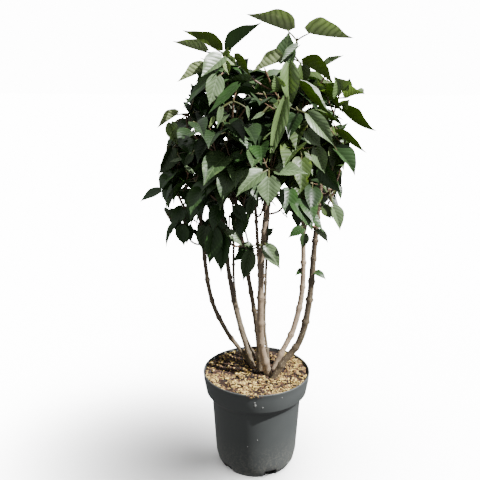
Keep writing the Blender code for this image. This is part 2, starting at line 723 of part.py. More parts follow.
class Mass:
    """One shoot: its twigs and leaves, worked out in passes before any mesh is made."""

    def __init__(self, number, limb, goal, turn, leader):
        self.number = number
        self.dice = random.Random(SEED * 1000 + number)
        self.turn = math.radians(turn)
        goal = Vector(goal)
        if leader:
            out = (limb.points[-1] - limb.points[-2]).normalized()
            start = limb.points[-1] + out * GAP
            self.root_radius = limb.radii[-1]
            rise = (goal - start).normalized()
        else:
            start, out = spring_point(limb, goal)
            self.root_radius = TWIG_ROOT_RADIUS
            rise = leaning(out, TWIG_LEAN)
        self.path = with_bud([start] + arc_path(start + out * STUB, out, goal, rise, TWIG_STEPS))
        self.top_size = LEADER_TOP_SIZE if leader else SHOOT_TOP_SIZE
        self.twigs = [(self.path, self.root_radius)]
        self.leaves = []

    def claim_twig(self, taken):
        taken.append(twig_taken(self.path, self.root_radius, self.number))

    def grow_leaves(self, path, turn, size, top_size, taken):
        self.leaves += twig_leaves(path, turn, size, top_size, self.dice, self.number, taken)

    def leaf_main_twig(self, taken):
        self.grow_leaves(self.path, self.turn, 1.0, self.top_size, taken)

    def fork(self, share, taken):
        """A side twig from part of the way up the main one, in the first free direction of a few."""
        length = path_length(self.path) - BUD_LENGTH
        if length * share < FORK_LEAST:
            return
        node, direction = along(self.path, length * share)
        for _ in range(FORK_TRIES):
            way = tilted(direction, around(direction, self.dice.uniform(0.0, math.tau)), FORK_ANGLE)
            spread = self.dice.uniform(-FORK_LENGTH_SPREAD, FORK_LENGTH_SPREAD)
            end = node + way * FORK_LENGTH * (1.0 + spread)
            rise = (way + Vector((0.0, 0.0, FORK_TURN_UP))).normalized()
            path = with_bud(arc_path(node, way, end, rise, FORK_STEPS))
            twig = twig_taken(path[1:], TWIG_TIP_RADIUS, self.number)
            if in_crown(end) and not any(twig.touches(other) for other in taken):
                taken.append(twig)
                self.twigs.append((path, TWIG_TIP_RADIUS))
                turn = self.dice.uniform(0.0, math.pi)
                self.grow_leaves(path, turn, FORK_LEAF_SIZE, SHOOT_TOP_SIZE, taken)
                return


def twig_object(name, path, root_radius, profile, collection, material):
    curve = bpy.data.curves.new(name, "CURVE")
    curve.dimensions = "3D"
    curve.bevel_mode = "OBJECT"
    curve.bevel_object = profile
    curve.use_fill_caps = True
    spline = curve.splines.new("POLY")
    spline.points.add(len(path) - 1)
    for i, (knot, place) in enumerate(zip(spline.points, path)):
        share = i / (len(path) - 2)
        radius = root_radius + (TWIG_TIP_RADIUS - root_radius) * min(share, 1.0)
        knot.co = (*place, 1.0)
        knot.radius = BUD_RADIUS if i == len(path) - 1 else radius
    tube = bpy.data.objects.new(name, curve)
    collection.objects.link(tube)
    return freeze(tube, collection, material)


def leaf_object(name, leaf, collection, material):
    rings = leaf.stalk_rings()[:1] + leaf.blade_rings(LEAF_THICK)
    corners, faces = loft(rings)
    mesh = bpy.data.meshes.new(name)
    mesh.from_pydata(corners, [], faces)
    shape = bmesh.new()
    shape.from_mesh(mesh)
    face_outwards(shape)
    shape.to_mesh(mesh)
    shape.free()
    return mesh_object(name, mesh, collection, material)


def mass_object(name, mass, profile, parts, pieces, material):
    body = twig_object(name, mass.path, mass.root_radius, profile, parts, material)
    for i, (path, radius) in enumerate(mass.twigs[1:]):
        twig_object(f"{name}_twig_{i}", path, radius, profile, pieces, material)
    for i, leaf in enumerate(mass.leaves):
        leaf_object(f"{name}_leaf_{i}", leaf, pieces, material)
    union = body.modifiers.new("fuse", "BOOLEAN")
    union.operation = "UNION"
    union.operand_type = "COLLECTION"
    union.collection = pieces
    union.solver = "MANIFOLD"
    apply_modifiers(body)
    for piece in list(pieces.objects):
        bpy.data.objects.remove(piece, do_unlink=True)
    return body


# ---------------------------------------------------------------- the whole plant

def twig_profile(collection):
    curve = bpy.data.curves.new("twig_profile", "CURVE")
    curve.dimensions = "2D"
    spline = curve.splines.new("POLY")
    spline.points.add(TWIG_SIDES - 1)
    for k, knot in enumerate(spline.points):
        angle = math.tau * k / TWIG_SIDES
        knot.co = (math.cos(angle), math.sin(angle), 0.0, 1.0)
    spline.use_cyclic_u = True
    profile = bpy.data.objects.new("twig_profile", curve)
    collection.objects.link(profile)
    profile.hide_render = True
    profile.display_type = "WIRE"
    return profile


def main():
    clear_scene()
    parts = new_collection("potted lilac")
    cutters = new_collection("pot cutters")
    pieces = new_collection("pieces to fuse")
    guides = new_collection("guides")

    plastic = plain_material("grey nursery pot plastic", (0.034, 0.038, 0.040), 0.55)
    soil = plain_material("potting soil", (0.030, 0.019, 0.012), 0.95)
    bark_chips = plain_material("bark mulch", (0.240, 0.150, 0.075), 0.90)
    bark = plain_material("lilac bark", (0.160, 0.120, 0.085), 0.75)
    leaf_green = plain_material("lilac leaf", (0.035, 0.070, 0.018), 0.45)

    build_pot(parts, cutters, plastic)
    build_fill(parts, soil, bark_chips)

    limbs = {name: stem_limb(name) for name in STEMS}
    for name in BOUGHS:
        limbs[name] = bough_limb(name, limbs)
    taken = [limb_taken(limb, LIMB_CLEAR) for limb in limbs.values()]
    for limb in limbs.values():
        limb_object(limb, parts, bark)

    rows = [(row, True) for row in LEADERS] + [(row, False) for row in SHOOTS]
    masses = [Mass(number, limbs[name], goal, turn, leader)
              for number, ((name, goal, turn), leader) in enumerate(rows, start=1)]
    for mass in masses:
        mass.claim_twig(taken)
    for mass in masses:
        mass.leaf_main_twig(taken)
    for mass in masses:
        mass.fork(FORK_SHARE, taken)

    profile = twig_profile(guides)
    for mass in masses:
        mass_object(f"foliage_{mass.number:02d}", mass, profile, parts, pieces, leaf_green)


main()
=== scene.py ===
"""A potted lilac, dressed: bark on the stems, heart-shaped leaves on forked twigs, mulch in the pot."""

import json
import math
import random

import bpy
from mathutils import Matrix, Vector, noise
from mathutils.bvhtree import BVHTree

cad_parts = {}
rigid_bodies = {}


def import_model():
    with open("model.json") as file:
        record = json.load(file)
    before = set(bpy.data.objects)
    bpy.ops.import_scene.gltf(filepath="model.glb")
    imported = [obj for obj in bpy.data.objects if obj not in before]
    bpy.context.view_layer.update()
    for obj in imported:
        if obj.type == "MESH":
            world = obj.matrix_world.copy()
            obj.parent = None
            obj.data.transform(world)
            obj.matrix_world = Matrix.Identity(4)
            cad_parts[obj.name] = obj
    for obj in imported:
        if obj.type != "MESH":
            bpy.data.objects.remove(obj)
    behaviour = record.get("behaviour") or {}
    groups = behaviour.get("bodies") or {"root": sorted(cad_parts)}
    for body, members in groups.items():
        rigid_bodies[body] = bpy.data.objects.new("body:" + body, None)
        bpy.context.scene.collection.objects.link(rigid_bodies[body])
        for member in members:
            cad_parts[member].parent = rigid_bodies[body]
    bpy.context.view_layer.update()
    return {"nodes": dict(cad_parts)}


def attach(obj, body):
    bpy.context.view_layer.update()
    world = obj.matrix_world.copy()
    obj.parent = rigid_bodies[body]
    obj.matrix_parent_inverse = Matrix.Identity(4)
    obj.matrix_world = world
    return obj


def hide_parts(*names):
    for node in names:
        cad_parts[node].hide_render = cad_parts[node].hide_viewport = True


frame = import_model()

SEED = 41

# The pot's profile up its outer side, as (radius, height), from its flat underside to its lip.
POT_SIDES = 128
POT_OUTSIDE = (
    (0.0830, 0.0000), (0.0920, 0.0040), (0.1020, 0.0200), (0.1075, 0.0450), (0.1165, 0.1870),
    (0.1195, 0.2020), (0.1325, 0.2180), (0.1385, 0.2520), (0.1392, 0.2665), (0.1400, 0.2690),
    (0.1396, 0.2712), (0.1382, 0.2720))
POT_INSIDE = (
    (0.1368, 0.2712), (0.1364, 0.2690), (0.1361, 0.2520), (0.1299, 0.2180), (0.1169, 0.2020),
    (0.1139, 0.1870), (0.1010, 0.0200), (0.0804, 0.0026))
POT_CORNER = 0.0012
POT_ROUND_OVER = 18.0             # degrees; corners sharper than this are rounded
POT_EDGE = 38.0
DUST_TOP = 0.120
DRAIN_COUNT = 5
DRAIN_SIZE = (0.050, 0.034, 0.024)
DRAIN_HEIGHT = 0.0132
DRAIN_RADIUS = 0.092
DRAIN_TURN = 5.0                  # degrees from +X to the first drain notch

# Mulch: a dark bed, and chips of shredded bark strewn on it.
GROUND = 0.262
MULCH_RISE = 0.005
MULCH_RADIUS = 0.1358
MULCH_LEVEL = 0.06                # level out to here, then rising to the wall
BED_UNDER = 0.004                 # the bed lies this far under the top of the chips
BED_RINGS = 16
BED_SIDES = 96
BED_LUMP = 0.012
BED_ROUGH = 0.005
BED_THICK = 0.008
CHIP_COUNT = 5600
CHIP_LENGTH = (0.003, 0.013)
CHIP_WIDTH = (0.0013, 0.0036)
CHIP_THICK = (0.0006, 0.0016)
CHIP_SHORTER = (0.6, 1.0)
CHIP_INSIDE = 0.002
WALL_GAP = 0.0005                 # chips that would reach nearer the wall lie along it, but for this skew
WALL_SKEW = 0.2
CHIP_BEND = 0.12
CHIP_END = (0.3, 0.9)             # how wide its two ends are, of its middle
CHIP_LIFT = (-0.001, 0.0035)
CHIP_TILT = 17.0                  # usual degrees, end over end and round its length
CHIP_ROLL = 30.0
CHIP_EDGE = 40.0
# Pale straw chips on crests are painted light; dark chips round the stems' feet, in their shade and in
# hollows are painted shade.
CHIPS_PAINTED_LIGHT = (0.42, 0.27, 0.18, 0.13)     # shares of straw, tan, brown and dark chips
CHIPS_DRY = (0.17, 0.22, 0.29, 0.32)
CHIPS_PAINTED_SHADE = (0.03, 0.08, 0.30, 0.59)
FEET_SHADE_MIDDLE = (0.018, 0.022)
FEET_SHADE_REACH = (0.030, 0.066)
FEET_PAINTED_SHADE = 0.9                   # the shares of dark chips, painted shade, round the stems' feet, in their shade and in hollows
CAST_PAINTED_SHADE = 0.55                 # and in hollows
HOLLOW_PAINTED_SHADE = 0.5
SHADE_RIGHT = -0.015              # the stems' shade lies left of this x, behind a slanting line
SHADE_FRONT = 0.012
SHADE_SLANT = 0.25
HOLLOW_UNDER = -0.22              # clump heights that count as a hollow and as a crest
CREST_OVER = 0.05
CLUMP_SCALE = 55.0
CLUMP_FINER = 2.3
CLUMP_RISE = 0.0070
SPILL_COUNT = 52                  # chips on and over the lip at the front
SPILL_TURN = -92.0                # degrees from +X to the spill, and its usual spread
SPILL_SPREAD = 3.2
SPILL_PLACE = (0.1375, 0.2725)    # radius and height on the lip,
SPILL_OVER = (0.0028, 0.011)      # and how far out and down the spill reaches from there
SPILL_LEVEL = 0.35                # the share of that reach before it turns down
SPILL_SIZE = ((0.003, 0.008), 0.002, 0.001)     # shortest and longest, width, thickness
SPILL_TILT = 0.35
SPILL_ROLL = 0.4
SPILL_SHARES = (0.2, 0.3, 0.3, 0.2)
SPECKS = (                        # each one's turn in degrees from +X, its height and its half sizes
    (-91.0, 0.2435, 0.0030, 0.0052), (-91.5, 0.2505, 0.0022, 0.0026), (-83.0, 0.2350, 0.0018, 0.0018),
    (-88.0, 0.1280, 0.0014, 0.0014), (-101.0, 0.1060, 0.0015, 0.0013), (-62.0, 0.2570, 0.0013, 0.0010),
    (-35.0, 0.0270, 0.0050, 0.0022), (-73.0, 0.0090, 0.0045, 0.0030))
SPECK_THICK = 0.0007

# Stems: where each one's axis passes at these heights, then its top, foot radius and top radius.
STEM_LEVELS = (GROUND, 0.30, 0.36, 0.46, 0.62, 0.82)
STEM_STEPS = 10
STEM_SPACING = 1.25
STEM_SUNK = 0.006
STEM_TAPER = 0.8
FLARE_SHARE = 0.16
FLARE_RISE = 0.022
STEMS = {
    "stem_1": (((-0.016, 0.052), (-0.040, 0.048), (-0.079, 0.042), (-0.119, 0.032), (-0.138, 0.020),
                (-0.152, 0.012)), (-0.165, 0.006, 0.875), 0.0052, 0.0030),
    "stem_2": (((-0.009, 0.033), (-0.022, 0.041), (-0.041, 0.052), (-0.065, 0.067), (-0.087, 0.087),
                (-0.098, 0.103)), (-0.115, 0.108, 0.945), 0.0064, 0.0030),
    "stem_3": (((0.007, 0.049), (-0.015, 0.062), (-0.039, 0.081), (-0.061, 0.108), (-0.064, 0.146),
                (-0.070, 0.176)), (-0.060, 0.186, 0.920), 0.0036, 0.0026),
    "stem_4": (((0.008, 0.020), (0.007, 0.016), (0.003, 0.010), (-0.010, -0.002), (-0.035, -0.024),
                (-0.062, -0.046)), (-0.070, -0.058, 1.005), 0.0066, 0.0030),
    "stem_5": (((0.031, -0.001), (0.022, -0.009), (0.011, -0.017), (0.009, -0.024), (0.013, -0.027),
                (0.034, -0.029)), (0.071, -0.030, 1.025), 0.0096, 0.0032),
    "stem_6": (((0.033, 0.052), (0.028, 0.066), (0.021, 0.087), (0.023, 0.118), (0.028, 0.157),
                (0.040, 0.188)), (0.060, 0.198, 0.900), 0.0038, 0.0026),
    "stem_7": (((0.049, 0.034), (0.068, 0.047), (0.099, 0.068), (0.121, 0.096), (0.122, 0.131),
                (0.118, 0.154)), (0.124, 0.158, 0.860), 0.0062, 0.0028),
    "stem_8": (((0.047, -0.021), (0.068, -0.018), (0.110, -0.014), (0.132, -0.010), (0.143, -0.005),
                (0.157, -0.002)), (0.172, -0.001, 0.915), 0.0072, 0.0030),
    "stem_9": (((0.021, 0.069), (0.014, 0.071), (0.009, 0.075), (0.009, 0.082), (-0.001, 0.091),
                (-0.013, 0.096)), (-0.014, 0.094, 0.880), 0.0056, 0.0028),
}
LIMB_SIDES = 8
# The tan bark on these is partly the limbs' own tone and partly painted sunlight.
TAN_LIMBS = ("stem_5", "stem_7", "stem_9", "bough_front")      # the others have greyer, darker bark
STEM_FULLER = {"stem_1": 1.22, "stem_2": 1.08, "stem_7": 1.32, "stem_8": 1.30}  # thickness, of the source's

# Boughs: the limb each one springs from, its tip and its radii.
BOUGH_STEPS = 5
BOUGH_LEAN = 0.35
BOUGHS = {
    "bough_front": ("stem_5", (0.028, -0.125, 0.788), 0.0045, 0.0028),
    "bough_front_left": ("stem_4", (-0.085, -0.118, 0.835), 0.0042, 0.0028),
    "bough_left": ("stem_1", (-0.196, -0.018, 0.760), 0.0036, 0.0026),
    "bough_right": ("stem_8", (0.192, -0.042, 0.812), 0.0042, 0.0028),
    "bough_back": ("stem_6", (0.008, 0.232, 0.785), 0.0034, 0.0026),
}

# Foliage: the limb each shoot springs from, the place of its last pair of leaves, and the turn of
# that pair about the twig, in degrees from +X.
LEADERS = (
    ("stem_5", (0.086, -0.030, 1.120), 2),
    ("stem_4", (-0.068, -0.060, 1.090), 8),
    ("stem_8", (0.190, 0.000, 0.994), 45),
    ("stem_1", (-0.172, 0.004, 0.940), 70),
    ("stem_2", (-0.122, 0.110, 1.022), 150),
    ("bough_front", (0.024, -0.182, 0.856), 4),
    ("bough_front_left", (-0.108, -0.138, 0.938), 25),
    ("bough_left", (-0.212, -0.036, 0.874), 30),
    ("bough_right", (0.204, -0.056, 0.912), 65),
    ("stem_3", (-0.055, 0.192, 1.000), 75),
    ("stem_9", (-0.012, 0.080, 0.985), 30),
    ("stem_6", (0.072, 0.206, 0.985), 40),
    ("stem_7", (0.140, 0.165, 0.940), 5),
    ("bough_back", (0.000, 0.258, 0.875), 20),
)
SHOOTS = (
    ("stem_5", (0.148, -0.060, 1.040), 60),
    ("bough_left", (-0.228, -0.004, 0.800), 15),
    ("stem_5", (0.045, -0.140, 0.995), 80),
    ("stem_5", (0.015, -0.090, 1.060), 35),
    ("stem_4", (-0.055, -0.150, 1.000), 50),
    ("bough_front_left", (-0.036, -0.185, 0.895), 5),
    ("stem_4", (-0.130, -0.055, 1.030), 70),
    ("bough_front_left", (-0.115, -0.165, 0.810), 60),
    ("stem_4", (-0.092, -0.085, 0.705), 40),
    ("stem_1", (-0.190, -0.020, 0.680), 80),
    ("bough_left", (-0.162, -0.092, 0.820), 55),
    ("stem_9", (-0.030, -0.015, 0.660), 20),
    ("stem_5", (0.108, -0.125, 0.945), 40),
    ("stem_8", (0.215, 0.030, 0.880), 10),
    ("bough_right", (0.158, -0.095, 0.810), 75),
    ("stem_8", (0.185, -0.010, 0.758), 35),
    ("stem_8", (0.100, -0.050, 0.735), 15),
    ("bough_front", (0.075, -0.140, 0.795), 50),
    ("stem_5", (0.115, -0.120, 0.870), 85),
    ("bough_back", (0.066, 0.250, 0.835), 20),
    ("bough_back", (-0.055, 0.240, 0.835), 60),
    ("stem_7", (0.200, 0.120, 0.840), 30),
    ("stem_2", (-0.180, 0.110, 0.880), 65),
    ("stem_2", (-0.155, 0.140, 0.735), 10),
    ("stem_7", (0.160, 0.190, 0.740), 45),
    ("stem_3", (-0.085, 0.230, 0.755), 80),
    ("stem_9", (0.045, 0.060, 0.860), 25),
    ("stem_2", (-0.160, 0.055, 0.980), 40),
    ("stem_6", (0.120, 0.110, 0.990), 55),
)

INNER_SHOOTS = (                  # what the scene adds inside the crown
    ("stem_4", (-0.030, -0.060, 0.760), 20), ("stem_4", (-0.045, 0.010, 0.830), 65),
    ("stem_9", (0.020, 0.020, 0.740), 0), ("stem_9", (-0.050, 0.060, 0.900), 45),
    ("stem_2", (-0.080, 0.060, 0.780), 30), ("stem_2", (-0.070, 0.130, 0.860), 75),
    ("stem_1", (-0.150, 0.050, 0.780), 15), ("stem_1", (-0.130, -0.040, 0.830), 50),
    ("stem_5", (0.060, -0.070, 0.850), 10), ("stem_5", (0.090, 0.030, 0.900), 35),
    ("stem_5", (0.050, 0.010, 0.960), 80), ("stem_7", (0.130, 0.080, 0.800), 60),
    ("stem_7", (0.080, 0.120, 0.870), 20), ("stem_8", (0.140, 0.020, 0.820), 85),
    ("stem_8", (0.150, -0.040, 0.880), 5), ("stem_6", (0.060, 0.160, 0.800), 40),
    ("stem_3", (-0.050, 0.130, 0.740), 10), ("stem_3", (-0.030, 0.150, 0.880), 55),
    ("bough_front_left", (-0.080, -0.120, 0.760), 30), ("stem_4", (-0.075, -0.050, 0.640), 70),
    ("stem_2", (-0.110, 0.060, 0.650), 20), ("bough_left", (-0.150, -0.030, 0.730), 80),
    ("stem_4", (-0.040, -0.030, 0.680), 35), ("stem_9", (0.010, 0.060, 0.690), 60),
)

# Twigs.
TWIG_ROOT_RADIUS = 0.0034
TWIG_TIP_RADIUS = 0.0026
BUD_LENGTH = 0.010
TWIG_STEPS = 4
TWIG_SIDES = 3
TWIG_LEAN = 0.69
ARC_KNEE = 0.35
STUB = 0.004
SPRING_BELOW = 0.018
SPRING_SLOPE = 0.72
SPRING_UNDER_TOP = 0.012
SPRING_OVER_FOOT = 0.020
SPRING_MOST = 0.0012
SPRING_NUDGE = 0.0001
GAP = 0.0003
FORK_SHARE = 0.45
FORK_LEAST = 0.035
FORK_LENGTH = 0.056
FORK_LENGTH_SPREAD = 0.15
FORK_ANGLE = 42.0
FORK_TURN_UP = 0.5
FORK_TRIES = 6
FORK_STEPS = 2
FORK_LEAF_SIZE = 0.92
LEADER_TOP_SIZE = 1.10
SHOOT_TOP_SIZE = 0.84
INTERNODE = 0.032
INTERNODE_RANGE = (0.90, 1.15)
PAIR_WOBBLE = 9.0
PAIR_OFFSET = 0.0003
NODE_CLEAR = 0.020

# Leaves.
LEAF_LENGTH = 0.102
LOW_LEAF_LESS = 0.26
LEAF_SIZE_RANGE = (0.88, 1.10)
LEAF_WIDTH = 0.62
LEAF_THICK = 0.0013
LEAF_FOLD_TOP = 46.0
LEAF_FOLD_FOOT = 20.0
LEAF_PITCH_TOP = 24.0
LEAF_PITCH_FOOT = -44.0
LEAF_DROOP_TOP = 34.0
LEAF_DROOP_FOOT = 42.0
LEAF_WOBBLE = 12.0
LEAF_ROLL = 20.0
LEAF_SWINGS = ((0, 0), (20, 0), (-20, 0), (0, -18), (38, -8), (-38, -8), (0, 20))
LEAF_WIDEST = 0.32
MIDRIB_STEPS = 6
PETIOLE_LENGTH = 0.025
PETIOLE_RADIUS = 0.0009
PETIOLE_ANGLE = 54.0
LEAF_CLEAR = 0.0006
LIMB_CLEAR = 0.0008
LEAF_SUNK = 0.0004
HEADING_LEAST = 0.15
CROWN_FLOOR = 0.545
CROWN_TOP = 1.188
CROWN_HALF_WIDTH = 0.285
CROWN_HALF_DEPTH = 0.290
SAG_TOP = 1.08
SAG_FOOT = 0.66

# What the scene adds to the source's growth, within the same reach: fine forks, each starting at a share
# of the way up a twig, with leaves of a size.
FINE_FORKS = ((0.85, 1.10), (0.68, 1.00), (0.55, 1.12), (0.35, 1.00), (0.20, 0.92))
FINE_TWIG_RADIUS = 0.0013

# Leaves set one by one: where each blade's base and tip are seen from the camera, in pixels of a
# frame 480 wide and high, how far back its two ends are, the way its upper side faces, its fold in
# degrees, its width of its length, the arch of its midrib and its tone. An upper side mostly faces up
# and away from the camera, up and towards it, or straight at it.
AWAY = (0.0, 0.45, 0.9)
HITHER = (0.0, -0.55, 0.85)
FRONT = (0.0, -1.0, 0.25)
PLACED = (
    ((289, 31), (246, 14), -0.050, -0.090, AWAY, 60, 0.78, -0.02, "veined"),
    ((308, 33), (354, 38), -0.035, -0.070, AWAY, 60, 0.78, -0.03, "veined"),
    ((284, 62), (289, 31), -0.060, -0.055, FRONT, 14, 0.72, 0.00, "mid"),
    ((298, 46), (280, 63), -0.065, -0.095, (-0.45, -0.7, 0.55), 46, 0.46, 0.00, "mid"),
    ((292, 52), (288, 68), -0.060, -0.070, FRONT, 40, 0.60, 0.00, "mid"),
    ((281, 61), (252, 72), -0.060, -0.090, AWAY, 62, 1.06, 0.00, "veined"),
    ((303, 64), (334, 84), -0.050, -0.070, AWAY, 60, 0.84, 0.03, "bright"),
    ((323, 67), (344, 55), 0.020, 0.030, AWAY, 42, 0.66, 0.00, "pale"),
    ((289, 65), (291, 109), -0.075, -0.085, (0.0, -1.0, 0.1), 60, 0.56, 0.02, "veined"),
    ((302, 65), (303, 86), -0.050, -0.050, (0.3, -0.9, 0.2), 44, 0.78, 0.06, "bright"),
    ((284, 101), (269, 164), -0.150, -0.170, (0.25, -1.0, 0.1), 60, 0.32, -0.05, "veined"),
    ((281, 91), (245, 95), -0.040, -0.060, AWAY, 62, 0.96, 0.00, "deep"),
    ((279, 89), (274, 74), -0.085, -0.100, FRONT, 30, 0.85, 0.10, "veined"),
    ((300, 85), (332, 114), -0.085, -0.115, (0.1, 0.1, 1.0), 58, 0.64, -0.08, "bright"),
    ((317, 88), (341, 112), -0.030, -0.050, AWAY, 52, 0.70, 0.06, "bright"),
    ((341, 91), (334, 76), -0.030, -0.070, FRONT, 30, 0.95, 0.10, "veined"),
    ((347, 98), (365, 94), -0.020, -0.080, AWAY, 58, 0.84, 0.05, "veined"),
    ((347, 88), (350, 78), 0.020, 0.020, FRONT, 24, 0.95, 0.00, "deep"),
    ((316, 90), (317, 78), -0.040, -0.070, FRONT, 30, 0.95, 0.10, "veined"),
    ((343, 106), (350, 99), -0.040, -0.060, FRONT, 30, 0.90, 0.10, "fresh"),
    ((342, 110), (377, 131), -0.010, -0.030, (0.1, 0.3, 0.9), 58, 0.74, -0.10, "bright"),
    ((337, 133), (367, 153), -0.060, -0.080, (0.1, 0.3, 0.9), 56, 0.56, -0.03, "bright"),
    ((336, 150), (355, 176), -0.070, -0.090, (0.3, -0.6, 0.7), 46, 0.76, 0.10, "deep"),
    ((322, 167), (341, 193), -0.110, -0.120, (-0.6, -0.7, 0.3), 30, 0.62, 0.05, "deep"),
    ((309, 115), (334, 146), -0.140, -0.150, (-0.2, -0.6, 0.6), 52, 0.52, 0.06, "pale"),
    ((307, 131), (321, 147), -0.150, -0.150, FRONT, 42, 0.80, 0.00, "pale"),
    ((316, 148), (325, 174), -0.140, -0.140, FRONT, 40, 0.66, 0.00, "pale"),
    ((230, 50), (262, 22), -0.070, -0.100, AWAY, 60, 0.62, 0.00, "deep"),
    ((218, 51), (182, 30), -0.070, -0.100, AWAY, 60, 0.62, 0.00, "bright"),
    ((205, 52), (172, 41), -0.060, -0.070, AWAY, 60, 0.66, -0.02, "veined"),
    ((206, 70), (177, 82), -0.080, -0.110, AWAY, 60, 0.84, 0.00, "veined"),
    ((219, 66), (182, 109), -0.110, -0.130, (-0.7, -0.4, 0.6), 12, 0.42, 0.00, "deep"),
    ((217, 77), (209, 106), -0.130, -0.150, (0.4, -0.8, 0.4), 16, 0.66, 0.00, "pale"),
    ((237, 85), (208, 114), -0.140, -0.170, (-0.6, -0.5, 0.6), 12, 0.42, 0.00, "deep"),
    ((222, 58), (201, 77), -0.090, -0.130, (0.45, 0.0, 0.9), 44, 0.80, 0.00, "pale"),
    ((234, 57), (251, 76), -0.080, -0.100, AWAY, 56, 0.80, -0.06, "bright"),
    ((240, 67), (249, 58), -0.040, -0.040, FRONT, 20, 0.95, 0.00, "deep"),
    ((226, 57), (228, 47), -0.070, -0.080, FRONT, 30, 0.80, 0.00, "fresh"),
    ((228, 58), (237, 66), -0.085, -0.090, FRONT, 40, 0.80, 0.00, "fresh"),
    ((226, 62), (229, 75), -0.090, -0.095, FRONT, 40, 0.70, 0.00, "fresh"),
    ((178, 114), (157, 128), -0.020, -0.035, AWAY, 60, 0.84, 0.00, "veined"),
    ((160, 190), (140, 202), -0.020, -0.030, (-0.4, -0.6, 0.6), 12, 0.52, 0.08, "deep"),
    ((277, 170), (308, 174), -0.200, -0.225, (0.0, -0.6, 0.8), 20, 0.60, 0.06, "pale"),
    ((262, 173), (236, 197), -0.200, -0.235, (-0.2, -0.6, 0.75), 30, 0.66, 0.06, "pale"),
    ((269, 178), (268, 206), -0.215, -0.235, (0.0, -1.0, 0.2), 30, 0.90, 0.00, "pale"),
    ((266, 172), (250, 171), -0.170, -0.140, (0.0, -0.4, 0.9), 30, 0.80, 0.10, "pale"),
    ((266, 246), (280, 269), -0.050, -0.060, (0.3, -0.9, 0.2), 24, 0.60, 0.06, "pale"),
    ((266, 234), (274, 228), -0.030, -0.030, FRONT, 20, 0.80, 0.00, "deep"),
    ((252, 250), (232, 262), -0.070, -0.080, HITHER, 10, 0.60, 0.08, "deep"),
    ((252, 246), (238, 246), -0.060, -0.060, (0.0, -0.4, 0.9), 24, 0.60, 0.10, "pale"),
    ((333, 207), (340, 231), -0.060, -0.070, (0.5, -0.8, 0.2), 34, 0.66, 0.06, "pale"),
    ((324, 206), (331, 219), -0.070, -0.070, FRONT, 34, 0.80, 0.00, "bright"),
    ((303, 228), (288, 238), -0.060, -0.070, HITHER, 10, 0.66, 0.08, "deep"),
    ((317, 231), (328, 243), -0.050, -0.060, (0.2, -0.5, 0.8), 30, 0.66, 0.10, "pale"),
    ((305, 234), (303, 248), -0.070, -0.070, FRONT, 34, 0.72, 0.00, "mid"),
    ((206, 227), (204, 253), -0.090, -0.090, (-0.2, -0.9, 0.2), 34, 0.66, 0.04, "mid"),
    ((214, 230), (209, 265), -0.115, -0.115, (0.3, -0.9, 0.2), 38, 0.56, 0.00, "deep"),
    ((223, 236), (221, 273), -0.105, -0.105, (-0.2, -0.9, 0.1), 40, 0.56, 0.00, "deep"),
    ((216, 224), (229, 258), -0.095, -0.095, (0.4, -0.8, 0.3), 36, 0.56, 0.00, "deep"),
    ((226, 231), (243, 247), -0.100, -0.100, (0.3, -0.6, 0.7), 20, 0.50, 0.06, "pale"),
    ((236, 206), (247, 223), -0.090, -0.090, FRONT, 36, 0.62, 0.00, "deep"),
    ((252, 199), (248, 221), -0.120, -0.120, FRONT, 40, 0.46, 0.00, "mid"),
    ((250, 252), (243, 281), -0.100, -0.100, (0.1, -0.95, 0.2), 40, 0.56, 0.00, "mid"),
    ((178, 222), (166, 248), -0.030, -0.030, (-0.8, -0.5, 0.3), 40, 0.40, 0.08, "deep"),
    ((182, 226), (184, 246), -0.040, -0.040, FRONT, 30, 0.74, 0.00, "deep"),
    ((186, 226), (187, 244), -0.035, -0.035, FRONT, 34, 0.62, 0.00, "deep"),
    ((189, 225), (191, 243), -0.030, -0.030, FRONT, 34, 0.48, 0.00, "deep"),
    ((171, 123), (177, 145), -0.040, -0.040, (-0.1, -0.95, 0.3), 44, 0.72, 0.00, "veined"),
    ((172, 149), (158, 175), -0.060, -0.080, (0.7, -0.5, 0.5), 52, 0.74, 0.02, "mid"),
    ((221, 107), (217, 129), -0.165, -0.170, (0.5, -0.8, 0.3), 20, 0.34, 0.00, "pale"),
    ((221, 121), (230, 114), -0.165, -0.165, FRONT, 30, 0.36, 0.00, "pale"),
    ((214, 117), (209, 128), -0.165, -0.170, FRONT, 20, 0.34, 0.00, "fresh"),
    ((181, 159), (169, 162), -0.100, -0.105, (0.2, -0.7, 0.7), 20, 0.34, 0.00, "pale"),
    ((192, 154), (184, 167), -0.130, -0.130, FRONT, 26, 0.50, 0.00, "mid"),
    ((186, 167), (196, 176), -0.120, -0.130, (0.3, -0.7, 0.6), 26, 0.40, 0.00, "pale"),
    ((247, 107), (249, 121), -0.165, -0.165, (0.5, -0.8, 0.3), 26, 0.30, 0.00, "pale"),
    ((263, 113), (251, 120), -0.160, -0.165, (0.3, -0.7, 0.7), 24, 0.36, 0.00, "pale"),
    ((304, 270), (295, 276), 0.115, 0.105, HITHER, 20, 0.66, 0.16, "deep"),
    ((315, 272), (326, 280), -0.010, -0.020, HITHER, 20, 0.60, 0.16, "deep"),
)
SUNLIT_STEM = "stem_5"            # grown leaves keep out of the sunlight that falls on this stem
SUNLIT_HEIGHTS = (0.29, 0.745)
SUNLIT_HALF = 0.007
SUNLIT_STEPS = 40
SUNLIT_TONES = ("pale", "veined", "fresh")     # and out of that which falls on placed leaves of these
SUNLIT_OVER = 0.003
TWIG_NEEDED = 0.040               # a placed leaf further than this from a twig gets a small twig of its own
# Places on a placed leaf that no grown leaf may hide, as shares of its length and half width.
SHOWN_SPOTS = ((0.10, 0.0), (0.30, -0.6), (0.45, 0.0), (0.30, 0.6), (0.60, 0.0), (0.55, -0.4), (0.78, 0.0),
               (0.55, 0.4), (0.95, 0.0), (0.10, -0.7), (0.10, 0.7))
SHOWN_REACH = 32.0                # pixels within which a grown leaf could hide one
SHOWN_GAP = 0.004
